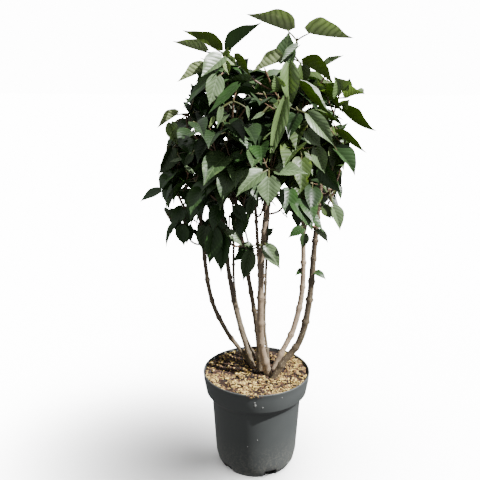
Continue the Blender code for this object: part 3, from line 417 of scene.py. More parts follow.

# Tones of the grown sprays, the darker ones painted shade: near a shaded hollow of the crown, high up, and
# then from right to left, each with the x that it starts from, a height, and the tones over and under that
# height.
SHADED_HOLLOW_MIDDLE = Vector((262.0, 112.0))       # pixels
SHADED_HOLLOW_REACH = 24.0
TONES_PAINTED_SHADE = ("dark", "deep", "dark")
TONES_HIGH_FROM = 1.04
TONES_HIGH = ("mid", "bright", "deep")
TONES_ACROSS = (
    (0.10, 0.82, ("bright", "mid", "bright"), ("dark", "deep", "dark")),
    (0.03, 0.85, ("mid", "deep", "bright"), ("dark", "dark", "deep")),
    (-1.0, 0.90, ("deep", "dark", "mid"), ("deep", "deep", "deep")))

# The crown's outline for grown leaves, and the middles and radii of the open places in it, in pixels as
# seen from the camera.
CROWN_OUTLINE = (
    (158, 200), (158, 178), (161, 158), (167, 146), (166, 130), (182, 112), (186, 92), (198, 70),
    (204, 56), (226, 55), (252, 57), (262, 68), (283, 66), (300, 64), (310, 66), (328, 78), (344, 84),
    (342, 104), (352, 118), (344, 130), (350, 145), (352, 160), (354, 172), (344, 182), (344, 205),
    (340, 228), (322, 240), (304, 236), (290, 226), (282, 214), (274, 205), (262, 207), (252, 222),
    (246, 240), (256, 250), (256, 275), (246, 280), (238, 262), (224, 272), (206, 264), (196, 246),
    (178, 244), (170, 224), (163, 212))
OPENINGS = (
    (249, 232, 7), (242, 212, 4), (238, 205, 3), (287, 186, 4), (251, 102, 3), (268, 101, 3), (306, 104, 4),
    (276, 67, 5), (187, 187, 3), (175, 193, 2), (182, 199, 2), (176, 177, 2), (196, 181, 2), (202, 218, 3),
    (195, 218, 2), (207, 207, 2), (224, 219, 3), (229, 217, 2), (234, 246, 3), (233, 232, 2), (228, 198, 2),
    (215, 124, 2), (199, 133, 2), (182, 116, 4), (174, 121, 3), (240, 90, 2), (300, 58, 5), (259, 228, 2),
    (206, 214, 2), (212, 236, 2), (219, 246, 2), (230, 254, 2), (196, 226, 3), (181, 223, 2), (226, 147, 2))
OPENING_NEAR = 26.0               # pixels from a leaf's middle to an opening that it could cover
OUTLINE_ROWS = ((0.10, 0.80), (0.32, 1.0), (0.58, 0.76), (0.80, 0.32))     # share, and half width there
FULL_ROWS = ((0.05, 0.8), (0.20, 1.08), (0.40, 1.0), (0.62, 0.62))

# What each tone of leaf is called, and the skins of its top and its underside: the green, the veins'
# colour, the colour lit through, the share that is lit through, then roughness, relief, bands of painted
# shade and gloss. The dark and deep tones are painted shade, and the pale one is painted sunlit sheen.
LEAF_TONES = {
    "fresh": ("fresh", ("#647a40", "#8fa06a", "#a4c050", 0.30, 0.46, 0.0005, 0.08, 0.65),
              ("#7f9060", "#667c44", "#a8c258", 0.34, 0.50, 0.0006, 0.10, 0.50)),
    "bright": ("bright", ("#35441e", "#4a6036", "#60821c", 0.18, 0.44, 0.0003, 0.06, 0.42),
               ("#4e621e", "#5a7030", "#88ac22", 0.36, 0.48, 0.0004, 0.08, 0.42)),
    "mid": ("full green", ("#2d4022", "#465a36", "#526f1e", 0.16, 0.44, 0.0003, 0.05, 0.42),
            ("#42552f", "#4c633c", "#64842c", 0.24, 0.46, 0.0004, 0.06, 0.42)),
    "deep": ("deep green, painted shade", ("#223a17", "#364c2c", "#44661a", 0.16, 0.42, 0.0003, 0.04, 0.42),
             ("#2e4a1c", "#3c562c", "#527c1c", 0.24, 0.46, 0.0004, 0.05, 0.42)),
    "dark": ("darkest green, painted shade", ("#17280f", "#28381e", "#2f5012", 0.12, 0.46, 0.0003, 0.04, 0.42),
             ("#203414", "#2c4020", "#3a5e14", 0.18, 0.50, 0.0004, 0.05, 0.42)),
    "pale": ("dusty", ("#4e603f", "#6c7f5c", "#7c9a48", 0.22, 0.40, 0.0003, 0.03, 0.70),
             ("#5f704a", "#607850", "#86a050", 0.28, 0.46, 0.0004, 0.05, 0.60)),
    "veined": ("ribbed", ("#5a7042", "#74855a", "#8aa84c", 0.30, 0.42, 0.0004, 0.12, 0.70),
               ("#a8b488", "#667c48", "#ccd89a", 0.46, 0.46, 0.0005, 0.20, 0.60)),
}
VEINS = 6.5                       # side veins along a blade
VEIN_SLOPE = 0.70                 # how steeply they rise to the edge
VEIN_STRAY = 0.16

# Fine shapes.
BLADE_ROWS = (0.0, 0.05, 0.14, 0.26, 0.40, 0.55, 0.70, 0.84, 0.93, 1.0)
BLADE_HALF = (0.26, 0.62, 0.88, 1.00, 0.96, 0.79, 0.51, 0.22, 0.09, 0.0)    # half width at each row
BLADE_LOBE = (-0.10, -0.07, -0.03, -0.01, 0.0, 0.0, 0.0, 0.0, 0.0, 0.0)     # edge set back at each row
BLADE_WIDER = 1.08                # a grown leaf's width, of the source's
BLADE_SHOWN = 0.92                # a grown leaf's size, of the source's
BLADE_COLUMNS = (-1.0, -0.52, 0.0, 0.52, 1.0)
FINE_ROWS = 16                    # rows and columns of a placed leaf
FINE_COLUMNS = (-1.0, -0.74, -0.40, 0.0, 0.40, 0.74, 1.0)
BLADE_WAVE = 0.035                # height of the edge's waves, of the half width
WAVE_ALONG = 15.0
WAVE_ACROSS = 1.3
BLADE_CUP = (0.60, 0.85)          # how much of its fold is left at the edge
BLADE_SKIN = 0.0005
LIMB_STEP = 0.006                 # between two rings of a stem
LIMB_RESOLUTION = 6
STEM_INTERNODE = 0.062
LIMB_LEAST = 8                    # rings at least
BARK_UNIT = 0.001                 # the radius that a knot of the bark's curve scales
BARK_FULLER = 1.03
BARK_RELIEF = 0.0011
BARK_LUMP = 0.006
BARK_EDGE = 60.0                  # degrees; folds sharper than these show as edges
MELD = 0.00001
NODE_FIRST = 0.045                # from a limb's foot to its first node
NODE_LAST = 0.015                 # from its last node to its tip, at least
NODE_RANGE = (0.8, 1.2)
NODE_FOOT = 1.15                  # the share of an internode at the foot, and how much less at the tip
NODE_CLOSER = 0.5
SWELL_SHARE = 0.36                # how much a stem swells at a node
SWELL_REACH = 0.0042
SCAR_SIZE = 0.0046
SCAR_STEM = 0.006                 # the stem radius that carries a scar of that size
SCAR_OUT = 0.95                   # how far out from the axis it sits, of the radius
SCAR_ANGLE = 35.0
SCAR_WOBBLE = 0.25
SCAR_LONG = 1.6
SCAR_WIDE = 0.55
SHOWN_STEPS = 60                  # of a stem, and how many of them it takes to grow to its fuller thickness
FULLER_STEPS = 16
SHOWN_BOUGH_STEPS = 20
ROOT_SUNK = 0.004                 # how deep a bough or a twig is rooted in what carries it

# Twigs, stalks and buds as shown.
OVAL_SIDES = 6                    # a bud or a knob: each ring's share of its length and size, and its point
OVAL_ROWS = ((-0.45, 0.45), (-0.15, 1.0), (0.2, 0.8), (0.5, 0.30))
OVAL_POINT = 0.62
TWIG_SHOWN = 0.80                 # a twig's thickness, of the source's
TWIG_SHOWN_SIDES = 7
TWIG_SHOWN_STEP = 0.008
BUD_AHEAD = 0.003                 # from a twig's end to its bud's middle
BUD_RADIUS = 0.0021
STALK_RADII = (0.0013, 0.0011, 0.0010, 0.0010, 0.0008)
STALK_SIDES = 5
STALK_INTO = 0.004                # how far a stalk runs into the blade
STALK_SUNK = 0.0015
AXIL_BUD = (0.005, 0.0013)        # length and radius of the bud over a stalk's root
AXIL_PLACE = (0.002, 0.0018)      # out along the stalk, and up
WANTED_SHARE = 0.6                # a placed leaf's stalk, of a grown one's, where a twig is near enough
STALK_BEND = 0.3                  # how far a placed leaf's stalk turns into its midrib
STALK_RISE = 0.12
SMALL_TWIG = 0.0017               # radius of a small twig that carries one placed leaf
SMALL_TWIG_SHORT = 0.35           # how far it ends from the leaf, of the whole way, and how much lower
SMALL_TWIG_LOW = 0.004
SMALL_TWIG_RISE = 0.15
SMALL_BUD_LENGTH = 0.008
PLACED_STALK_RADII = (0.0024, 0.0021, 0.0020, 0.0020, 0.0019, 0.0016, 0.0010)
PLACED_STEPS = 6
CARRIER_STEPS = 80                # places along a limb that may carry a placed leaf,
CARRIER_FIRST = 30                # from this one up
BLADE_EDGE = 62.0
TWIG_EDGE = 60.0
SMALL_EDGE = 70.0

# Camera: where the viewer stands and looks, a little down on the shrub.
CAMERA_PLACE = (0.0, -1.90, 1.264)
CAMERA_TILT = 18.4                # degrees down
CAMERA_TURN = 1.31                # degrees to the left
CAMERA_LENS = 60.0
SENSOR = 36.0
FRAME = 480.0                     # pixels across and down
MIDDLE = FRAME / 2.0
ZOOM = CAMERA_LENS / SENSOR * FRAME
CAMERA_ANGLES = (math.radians(90.0 - CAMERA_TILT), math.radians(CAMERA_TURN))
TO_CAMERA = Matrix.Rotation(-CAMERA_ANGLES[0], 3, "X") @ Matrix.Rotation(-CAMERA_ANGLES[1], 3, "Z")
FROM_CAMERA = Matrix.Rotation(CAMERA_ANGLES[1], 3, "Z") @ Matrix.Rotation(CAMERA_ANGLES[0], 3, "X")
SUN_FROM = Vector((0.585, -0.233, 0.777))
SUN_STRENGTH = 19.0
SUN_ANGLE = 0.8
SKY_ABOVE = 0.92
SKY_BELOW = 0.32
SKY_RISE = (-0.5, 0.7)            # the sky brightens between these heights of its own sphere
BACKDROP_STRENGTH = 14.0
SOFT_SUN_FROM = Vector((-0.122, 0.0, 0.993))
SOFT_SUN_STRENGTH = 84.0
SOFT_SUN_ANGLE = 120.0
FLOOR_SIZE = 14.0
FLOOR_GAP = 0.0006
SHADE_CARDS = (((-0.259, -0.006, 0.231), (0.441, 0.394)),       # the middle and half sizes of each
               ((-0.352, -0.274, 0.252), (0.041, 0.270)))


# ---------------------------------------------------------------- small helpers

def nothing_selected():
    for thing in bpy.context.selected_objects:
        thing.select_set(False)


def only_selected(thing):
    nothing_selected()
    thing.select_set(True)
    bpy.context.view_layer.objects.active = thing


def apply_modifiers(thing):
    only_selected(thing)
    for modifier in list(thing.modifiers):
        bpy.ops.object.modifier_apply(modifier=modifier.name)


def settle(thing):
    """Put a piece's place into its mesh, so that its object sits at the origin."""
    only_selected(thing)
    bpy.ops.object.transform_apply(location=True, rotation=True, scale=True)


def linked(name, data):
    """A new object of the scene, made of a mesh, a curve, a light or a camera."""
    made = bpy.data.objects.new(name, data)
    bpy.context.scene.collection.objects.link(made)
    return made


def at_turn(radius, angle, height):
    """A place by its distance from the pot's middle, its turn from +X and its height."""
    return Vector((radius * math.cos(angle), radius * math.sin(angle), height))


def linear(hex_colour):
    """An sRGB hex colour as linear red, green, blue and one."""
    values = []
    for i in (1, 3, 5):
        share = int(hex_colour[i:i + 2], 16) / 255.0
        values.append(share / 12.92 if share <= 0.04045 else ((share + 0.055) / 1.055) ** 2.4)
    return (*values, 1.0)


def dress(piece, slot, *nodes):
    """Attach a finished piece to the plant's root body, and hide the nodes that it stands for."""
    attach(piece, "root")
    if nodes:
        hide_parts(*nodes)


# ---------------------------------------------------------------- materials

# Below, a source is a node and the name or number of its output. Most helpers add a node and return its
# source.

def new_material(name):
    made = bpy.data.materials.new(name)
    made.use_nodes = True
    return made, made.node_tree, made.node_tree.nodes["Principled BSDF"]


def add(tree, kind, settings=None, links=None):
    """Add a node: settings go to its own values or its sockets, links come from sources."""
    node = tree.nodes.new(kind)
    for key, value in (settings or {}).items():
        if isinstance(key, str) and hasattr(node, key):
            setattr(node, key, value)
        else:
            node.inputs[key].default_value = value
    for key, source in (links or {}).items():
        feed(tree, source, node, key)
    return node


def feed(tree, source, node, socket):
    """Link a source to a node's socket."""
    tree.links.new(source[0].outputs[source[1]], node.inputs[socket])


def object_place(tree):
    return add(tree, "ShaderNodeTexCoord"), "Object"


def noise_in(tree, place, scale, detail, roughness=0.5):
    """Cloudy noise: its scale per metre, its detail and how rough it is."""
    return add(tree, "ShaderNodeTexNoise", {"Scale": scale, "Detail": detail, "Roughness": roughness},
               {"Vector": place}), "Fac"


def split_axis(tree, place, axis):
    return add(tree, "ShaderNodeSeparateXYZ", {}, {"Vector": place}), axis


def ranged(tree, value, start=0.0, end=1.0, low=0.0, high=1.0, course="LINEAR"):
    """A value's course from one range, start to end, into another, low to high."""
    limits = {"From Min": start, "From Max": end, "To Min": low, "To Max": high}
    return add(tree, "ShaderNodeMapRange", {"interpolation_type": course, **limits},
               {"Value": value}), "Result"


def sum_of(tree, operation, *values):
    """One step of arithmetic on sources or plain numbers."""
    node = add(tree, "ShaderNodeMath", {"operation": operation})
    for i, value in enumerate(values):
        if isinstance(value, tuple):
            feed(tree, value, node, i)
        else:
            node.inputs[i].default_value = value
    return node, "Value"


def colour_mix(tree, factor, first, second):
    """A colour between two: each is a hex colour or a source."""
    mixed = tree.nodes.new("ShaderNodeMix")
    mixed.data_type = "RGBA"
    feed(tree, factor, mixed, 0)
    for socket, value in ((6, first), (7, second)):
        if isinstance(value, str):
            mixed.inputs[socket].default_value = linear(value)
        else:
            feed(tree, value, mixed, socket)
    return mixed, 2


def raised(tree, shader, height, strength, distance):
    """Fine relief on a shader: how strong, and how high in metres."""
    bump = add(tree, "ShaderNodeBump", {"Strength": strength, "Distance": distance}, {"Height": height})
    tree.links.new(bump.outputs["Normal"], shader.inputs["Normal"])
    return bump, "Normal"


def pot_plastic():
    """Recycled polypropylene, injection moulded: matt anthracite, faintly grained, with dust at its foot.
    """
    material, tree, shader = new_material("moulded anthracite polypropylene")
    place = object_place(tree)
    cloud = noise_in(tree, place, 9.0, 4.0)
    plastic = colour_mix(tree, cloud, "#2f3232", "#3f4241")
    low = ranged(tree, split_axis(tree, place, "Z"), DUST_TOP, 0.0, 0.0, 0.8)
    patchy = ranged(tree, noise_in(tree, place, 190.0, 5.0, 0.7), 0.46, 0.66)
    dusty = colour_mix(tree, sum_of(tree, "MULTIPLY", low, patchy), plastic, "#66645c")
    feed(tree, dusty, shader, "Base Color")
    feed(tree, ranged(tree, cloud, low=0.48, high=0.66), shader, "Roughness")
    raised(tree, shader, noise_in(tree, place, 700.0, 2.0), 0.12, 0.0004)
    shader.inputs["IOR"].default_value = 1.49
    return material


def crumbs(name, dark, light, scale):
    """Peat and bark dust: crumbly and dull, in patches of two near colours."""
    material, tree, shader = new_material(name)
    place = object_place(tree)
    lumps = add(tree, "ShaderNodeTexVoronoi", {"Scale": scale}, {"Vector": place}), "Distance"
    fine = noise_in(tree, place, scale * 1.7, 6.0)
    feed(tree, colour_mix(tree, fine, dark, light), shader, "Base Color")
    raised(tree, shader, lumps, 0.9, 0.002)
    shader.inputs["Roughness"].default_value = 0.95
    shader.inputs["Specular IOR Level"].default_value = 0.2
    return material


def chip_bark(name, dark, light):
    """Shredded pine bark and wood: fibrous along each chip, dry and dull."""
    material, tree, shader = new_material(name)
    place = object_place(tree)
    fibre = noise_in(tree, place, 420.0, 3.0)
    both = sum_of(tree, "MULTIPLY", fibre, noise_in(tree, place, 90.0, 2.0))
    feed(tree, colour_mix(tree, ranged(tree, both, 0.16, 0.34), dark, light), shader, "Base Color")
    raised(tree, shader, fibre, 0.4, 0.0006)
    shader.inputs["Roughness"].default_value = 0.82
    return material


def stretched(tree, place, scales):
    """A place scaled along each axis, for a pattern drawn out or squeezed."""
    return add(tree, "ShaderNodeMapping", {"Scale": scales}, {"Vector": place}), "Vector"


def stem_bark(name, shaded, lit, young_from, young_to):
    """Young lilac bark: smooth grey tan with dark flecks and pale pores, red brown where it is newest."""
    material, tree, shader = new_material(name)
    place = object_place(tree)
    streak = noise_in(tree, stretched(tree, place, (170.0, 170.0, 26.0)), 1.0, 5.0, 0.65)
    tan = colour_mix(tree, streak, shaded, lit)
    flecks = ranged(tree, noise_in(tree, place, 120.0, 3.0), 0.60, 0.72)
    flecked = colour_mix(tree, flecks, tan, "#43362a")
    newest = ranged(tree, split_axis(tree, place, "Z"), young_from, young_to, 0.0, 0.85)
    reddish = colour_mix(tree, newest, flecked, "#4a3026")
    pores = add(tree, "ShaderNodeTexVoronoi", {"Scale": 1.0},
                {"Vector": stretched(tree, place, (260.0, 260.0, 330.0))}), "Distance"
    colour = colour_mix(tree, ranged(tree, pores, 0.22, 0.12, 0.0, 0.8), reddish, "#cdbb9f")
    feed(tree, colour, shader, "Base Color")
    raised(tree, shader, streak, 0.5, 0.0006)
    shader.inputs["Roughness"].default_value = 0.62
    return material


def plain_skin(name, first, second, roughness):
    """A living skin, such as a twig's, a petiole's or a bud's: two near colours in soft patches."""
    material, tree, shader = new_material(name)
    patch = noise_in(tree, object_place(tree), 160.0, 3.0)
    feed(tree, colour_mix(tree, patch, first, second), shader, "Base Color")
    shader.inputs["Roughness"].default_value = roughness
    return material


def leaf_skin(name, green, vein, through, share_through, roughness, relief, band_shade, gloss):
    """A leaf's skin: waxy cuticle over green, quilted between pale side veins, with painted shade in bands
    by the veins and towards the midrib, and lit through.
    """
    material, tree, shader = new_material(name)
    place = object_place(tree)
    split = split_axis(tree, (place[0], "UV"), "X")
    aside = sum_of(tree, "ABSOLUTE", sum_of(tree, "SUBTRACT", split, 0.5))
    slant = sum_of(tree, "SUBTRACT", (split[0], "Y"), sum_of(tree, "MULTIPLY", aside, VEIN_SLOPE))
    strayed = sum_of(tree, "MULTIPLY_ADD", noise_in(tree, place, 26.0, 1.0), VEIN_STRAY, slant)
    swing = sum_of(tree, "PINGPONG", sum_of(tree, "MULTIPLY", strayed, VEINS), 0.5)
    side_veins = ranged(tree, swing, 0.12, 0.03, 0.0, 0.7)
    midrib = ranged(tree, aside, 0.026, 0.010, 0.0, 0.95)
    lines = sum_of(tree, "MAXIMUM", side_veins, midrib)
    pillow = ranged(tree, swing, 0.0, 0.42, course="SMOOTHSTEP")
    patches = ranged(tree, noise_in(tree, place, 42.0, 3.0), low=0.70, high=1.30)
    # Darker by the side veins and lighter between them: painted shade of the quilting.
    painted_band_shade = ranged(tree, pillow, low=1.0 - band_shade, high=1.0 + 0.6 * band_shade)
    # Darker towards the midrib and lighter towards the edge: painted shade of the fold.
    edge = ranged(tree, aside, 0.0, 0.30, 0.84 - 1.2 * band_shade, 1.12)
    shade = sum_of(tree, "MULTIPLY", patches, sum_of(tree, "MULTIPLY", edge, painted_band_shade))

    def shaded(hex_colour):
        return add(tree, "ShaderNodeVectorMath", {"operation": "SCALE", 0: linear(hex_colour)[:3]},
                   {"Scale": shade}), "Vector"

    feed(tree, colour_mix(tree, lines, shaded(green), vein), shader, "Base Color")
    shader.inputs["Roughness"].default_value = roughness
    shader.inputs["IOR"].default_value = 1.45
    shader.inputs["Specular IOR Level"].default_value = gloss
    normal = raised(tree, shader, pillow, 0.8, relief)
    glow = add(tree, "ShaderNodeBsdfTranslucent", {}, {"Color": shaded(through), "Normal": normal})
    both = add(tree, "ShaderNodeMixShader", {"Fac": share_through},
               {1: (shader, "BSDF"), 2: (glow, "BSDF")})
    feed(tree, (both, "Shader"), tree.nodes["Material Output"], "Surface")
    return material


# ---------------------------------------------------------------- pot

def turned(name, sides, profile):
    """An open skin turned from a profile of (radius, height), left in edit mode, its last ring selected."""
    nothing_selected()
    bpy.ops.mesh.primitive_circle_add(vertices=sides, radius=profile[0][0], fill_type="NOTHING",
                                      location=(0.0, 0.0, profile[0][1]))
    made = bpy.context.object
    made.name = name
    settle(made)
    bpy.ops.object.mode_set(mode="EDIT")
    bpy.ops.mesh.select_mode(type="EDGE")
    bpy.ops.mesh.select_all(action="SELECT")
    for (radius, height), (wider, higher) in zip(profile, profile[1:]):
        bpy.ops.mesh.extrude_edges_move(TRANSFORM_OT_translate={"value": (0.0, 0.0, higher - height)})
        size = wider / radius
        bpy.ops.transform.resize(value=(size, size, 1.0), center_override=(0.0, 0.0, higher))
    bpy.ops.mesh.edge_face_add()
    return made


def leave_edit():
    """Turn every face of the edited mesh outwards, and leave edit mode."""
    bpy.ops.mesh.select_all(action="SELECT")
    bpy.ops.mesh.normals_make_consistent(inside=False)
    bpy.ops.object.mode_set(mode="OBJECT")


def build_pot(material):
    pot = turned("nursery_pot", POT_SIDES, POT_OUTSIDE + POT_INSIDE)
    bpy.ops.mesh.select_all(action="DESELECT")
    bpy.ops.mesh.select_non_manifold()
    bpy.ops.mesh.edge_face_add()
    leave_edit()

    notches = []
    for i in range(DRAIN_COUNT):
        turn = math.radians(DRAIN_TURN + 360.0 * i / DRAIN_COUNT)
        nothing_selected()
        bpy.ops.mesh.primitive_cube_add(size=1.0)
        notch = bpy.context.object
        notch.scale = DRAIN_SIZE
        notch.rotation_euler = (0.0, 0.0, turn)
        notch.location = at_turn(DRAIN_RADIUS, turn, DRAIN_HEIGHT)
        cut = pot.modifiers.new("drain notch", "BOOLEAN")
        cut.operation = "DIFFERENCE"
        cut.object = notch
        cut.solver = "EXACT"
        notches.append(notch)
    rounded = pot.modifiers.new("soft corners", "BEVEL")
    rounded.width = POT_CORNER
    rounded.segments = 2
    rounded.limit_method = "ANGLE"
    rounded.angle_limit = math.radians(POT_ROUND_OVER)
    apply_modifiers(pot)
    for notch in notches:
        bpy.data.objects.remove(notch, do_unlink=True)
    only_selected(pot)
    bpy.ops.object.shade_smooth_by_angle(angle=math.radians(POT_EDGE))
    pot.data.materials.append(material)
    dress(pot, "pot", "pot")


def build_specks(material):
    """Dried splashes on the pot's side: low domes that hug the wall."""
    specks = []
    for turn, height, wide, tall in SPECKS:
        nothing_selected()
        angle = math.radians(turn)
        bpy.ops.mesh.primitive_uv_sphere_add(segments=14, ring_count=8, radius=1.0)
        speck = bpy.context.object
        speck.scale = (SPECK_THICK, wide, tall)
        speck.rotation_euler = (0.0, 0.0, angle)
        speck.location = at_turn(radius_at(height), angle, height)
        settle(speck)
        specks.append(speck)
    nothing_selected()
    for speck in specks:
        speck.select_set(True)
    bpy.context.view_layer.objects.active = specks[0]
    bpy.ops.object.join()
    joined = bpy.context.object
    joined.name = "dried_splashes"
    bpy.ops.object.shade_smooth()
    joined.data.materials.append(material)
    dress(joined, "soil")


def radius_at(height):
    """The pot's outer radius at a height."""
    for (r0, z0), (r1, z1) in zip(POT_OUTSIDE, POT_OUTSIDE[1:]):
        if z0 <= height <= z1:
            return r0 + (r1 - r0) * (height - z0) / (z1 - z0)
    return POT_OUTSIDE[-1][0]


# ---------------------------------------------------------------- mulch

def mulch_height(radius):
    """The level of the chips at a distance from the pot's middle."""
    return GROUND + MULCH_RISE * min(max((radius - MULCH_LEVEL) / (MULCH_RADIUS - MULCH_LEVEL), 0.0), 1.0)


def build_bed(material):
    radii = [MULCH_RADIUS * (1.0 - i / BED_RINGS) for i in range(BED_RINGS)]
    bed = turned("mulch_bed", BED_SIDES, [(radius, mulch_height(radius) - BED_UNDER) for radius in radii])
    leave_edit()
    lumps = bpy.data.textures.new("mulch lumps", "CLOUDS")
    lumps.noise_scale = BED_LUMP
    lumpy = bed.modifiers.new("lumps", "DISPLACE")
    lumpy.texture = lumps
    lumpy.texture_coords = "OBJECT"
    lumpy.direction = "Z"
    lumpy.strength = BED_ROUGH
    lumpy.mid_level = 0.5
    thick = bed.modifiers.new("depth", "SOLIDIFY")
    thick.thickness = BED_THICK
    apply_modifiers(bed)
    bpy.ops.object.shade_smooth()
    bed.data.materials.append(material)
    dress(bed, "mulch", "mulch")


class Pile:
    """Corners and faces of many small shapes, gathered for one joined mesh."""

    def __init__(self):
        self.corners = []
        self.faces = []
        self.slots = []
        self.uvs = []

    def add(self, corners, faces, slot=0, uvs=None):
        start = len(self.corners)
        self.corners += corners
        for face in faces:
            self.faces.append(tuple(start + k for k in face))
            if uvs is not None:
                self.uvs += [uvs[k] for k in face]
        self.slots += slot if isinstance(slot, list) else [slot] * len(faces)

    def piece(self, name, materials, edge):
        mesh = bpy.data.meshes.new(name)
        mesh.from_pydata(self.corners, [], self.faces)
        for material in materials:
            mesh.materials.append(material)
        mesh.polygons.foreach_set("material_index", self.slots)
        if self.uvs:
            layer = mesh.uv_layers.new(name="blade")
            layer.data.foreach_set("uv", [value for pair in self.uvs for value in pair])
        mesh.shade_smooth()
        mesh.set_sharp_from_angle(angle=math.radians(edge))
        mesh.update()
        return linked(name, mesh)


def chip_shape(dice, middle, turn, tilt, roll, length, width, thick):
    """One splinter: a bent six-sided bar that narrows to both ends."""
    place = (Matrix.Translation(middle) @ Matrix.Rotation(turn, 4, "Z") @ Matrix.Rotation(tilt, 4, "Y")
             @ Matrix.Rotation(roll, 4, "X"))
    bend = dice.uniform(-CHIP_BEND, CHIP_BEND) * length
    corners = []
    for share, size in ((-0.5, dice.uniform(*CHIP_END)), (0.0, 1.0), (0.5, dice.uniform(*CHIP_END))):
        arch = bend * (1.0 - 4.0 * share * share)
        for side, top in ((-1, -1), (1, -1), (1, 1), (-1, 1)):
            point = Vector((share * length, side * width * size / 2 + arch, top * thick * size / 2))
            corners.append(place @ point)
    faces = [(3, 2, 1, 0), (8, 9, 10, 11)]
    for ring in (0, 4):
        for k in range(4):
            faces.append((ring + k, ring + (k + 1) % 4, ring + 4 + (k + 1) % 4, ring + 4 + k))
    return corners, faces


def painted_shade_chance(place):
    """How likely a chip is dark, as painted shade: round the stems' feet and in their shade at the back
    left.
    """
    away = (place - Vector((*FEET_SHADE_MIDDLE, place.z))).length
    near = min(max((FEET_SHADE_REACH[1] - away) / (FEET_SHADE_REACH[1] - FEET_SHADE_REACH[0]), 0.0), 1.0)
    in_shade = place.x < SHADE_RIGHT and place.y > SHADE_FRONT + SHADE_SLANT * place.x
    return max(FEET_PAINTED_SHADE * near, CAST_PAINTED_SHADE if in_shade else 0.0)


def build_chips(materials):
    dice = random.Random(SEED)
    pile = Pile()
    for _ in range(CHIP_COUNT):
        radius = (MULCH_RADIUS - CHIP_INSIDE) * math.sqrt(dice.random())
        angle = dice.uniform(0.0, math.tau)
        length = dice.uniform(*CHIP_LENGTH) * dice.uniform(*CHIP_SHORTER)
        width = dice.uniform(*CHIP_WIDTH)
        thick = dice.uniform(*CHIP_THICK)
        room = MULCH_RADIUS - WALL_GAP - radius
        turn = dice.uniform(0.0, math.pi)
        if room < length / 2:
            turn = angle + math.pi / 2 + dice.uniform(-WALL_SKEW, WALL_SKEW)
        middle = at_turn(radius, angle, mulch_height(radius))
        clump = noise.noise(middle * CLUMP_SCALE) + 0.5 * noise.noise(middle * CLUMP_FINER * CLUMP_SCALE)
        middle.z += dice.uniform(*CHIP_LIFT) + CLUMP_RISE * clump - BED_UNDER
        tilt = math.radians(dice.gauss(0.0, CHIP_TILT))
        roll = math.radians(dice.gauss(0.0, CHIP_ROLL))
        corners, faces = chip_shape(dice, middle, turn, tilt, roll, length, width, thick)
        # Dark chips where shade falls and in hollows are painted shade; paler chips on crests are painted
        # light.
        shade_chance = painted_shade_chance(middle) + (HOLLOW_PAINTED_SHADE if clump < HOLLOW_UNDER else 0.0)
        shares = CHIPS_PAINTED_SHADE if dice.random() < shade_chance else CHIPS_PAINTED_LIGHT if clump > CREST_OVER else CHIPS_DRY
        pile.add(corners, faces, dice.choices(range(len(materials)), shares)[0])
    for _ in range(SPILL_COUNT):
        angle = math.radians(SPILL_TURN + dice.gauss(0.0, SPILL_SPREAD))
        over = dice.random()
        radius = SPILL_PLACE[0] + SPILL_OVER[0] * over
        height = SPILL_PLACE[1] - SPILL_OVER[1] * max(over - SPILL_LEVEL, 0.0)
        middle = at_turn(radius, angle, height)
        lengths, width, thick = SPILL_SIZE
        corners, faces = chip_shape(dice, middle, dice.uniform(0.0, math.pi), dice.gauss(0.0, SPILL_TILT),
                                    dice.gauss(0.0, SPILL_ROLL), dice.uniform(*lengths), width, thick)
        pile.add(corners, faces, dice.choices(range(len(materials)), SPILL_SHARES)[0])
    dress(pile.piece("mulch_chips", materials, CHIP_EDGE), "mulch", "mulch")


# ---------------------------------------------------------------- paths and limbs

def part_at(steps, value):
    """Which part of a rising run of steps a value falls in."""
    k = 0
    while k < len(steps) - 2 and value > steps[k + 1]:
        k += 1
    return k


def smooth_weights(t):
    """Weights of both ends, then of the slopes there, at a share between them."""
    return 2 * t ** 3 - 3 * t ** 2 + 1, 3 * t ** 2 - 2 * t ** 3, t ** 3 - 2 * t ** 2 + t, t ** 3 - t ** 2


def level_path(levels, places, height):
    """Smooth path of (x, y) against height through the given levels."""
    last = len(levels) - 1
    slopes = []
    for i in range(last + 1):
        a, b = max(i - 1, 0), min(i + 1, last)
        slopes.append([(places[b][k] - places[a][k]) / (levels[b] - levels[a]) for k in (0, 1)])
    i = part_at(levels, height)
    span = levels[i + 1] - levels[i]
    t = (height - levels[i]) / span
    if t < 0.0:
        return [places[0][k] + slopes[0][k] * (height - levels[0]) for k in (0, 1)]
    near, far, leaving, arriving = smooth_weights(t)
    return [near * places[i][k] + far * places[i + 1][k]
            + leaving * span * slopes[i][k] + arriving * span * slopes[i + 1][k] for k in (0, 1)]


def arc_path(start, out, end, rise, steps):
    """Points of a limb that leaves along `out`, bends, and arrives at `end` going along `rise`."""
    reach = (end - start).length
    knee = start + out * reach * ARC_KNEE
    shoulder = end - rise * reach * ARC_KNEE
    points = []
    for i in range(steps + 1):
        t = i / steps
        s = 1.0 - t
        points.append(start * s ** 3 + knee * 3 * s * s * t + shoulder * 3 * s * t * t + end * t ** 3)
    return points


def along(points, distance):
    """Place and direction at a distance along a polyline."""
    for a, b in zip(points, points[1:]):
        step = (b - a).length
        if distance <= step:
            return a.lerp(b, distance / step), (b - a).normalized()
        distance -= step
    return points[-1].copy(), (points[-1] - points[-2]).normalized()


def path_length(points):
    return sum((b - a).length for a, b in zip(points, points[1:]))


def leaning(out, lean):
    """The unit direction that rises and leans out by a share of the rise."""
    return Vector((lean * out.x, lean * out.y, 1.0)).normalized()


def square_to(direction):
    """Two unit vectors square to a direction and to each other, the first as near +X as can be."""
    near = Vector((1.0, 0.0, 0.0)) if abs(direction.x) < 0.9 else Vector((0.0, 0.0, -1.0))
    side = (near - direction * near.dot(direction)).normalized()
    return side, direction.cross(side)


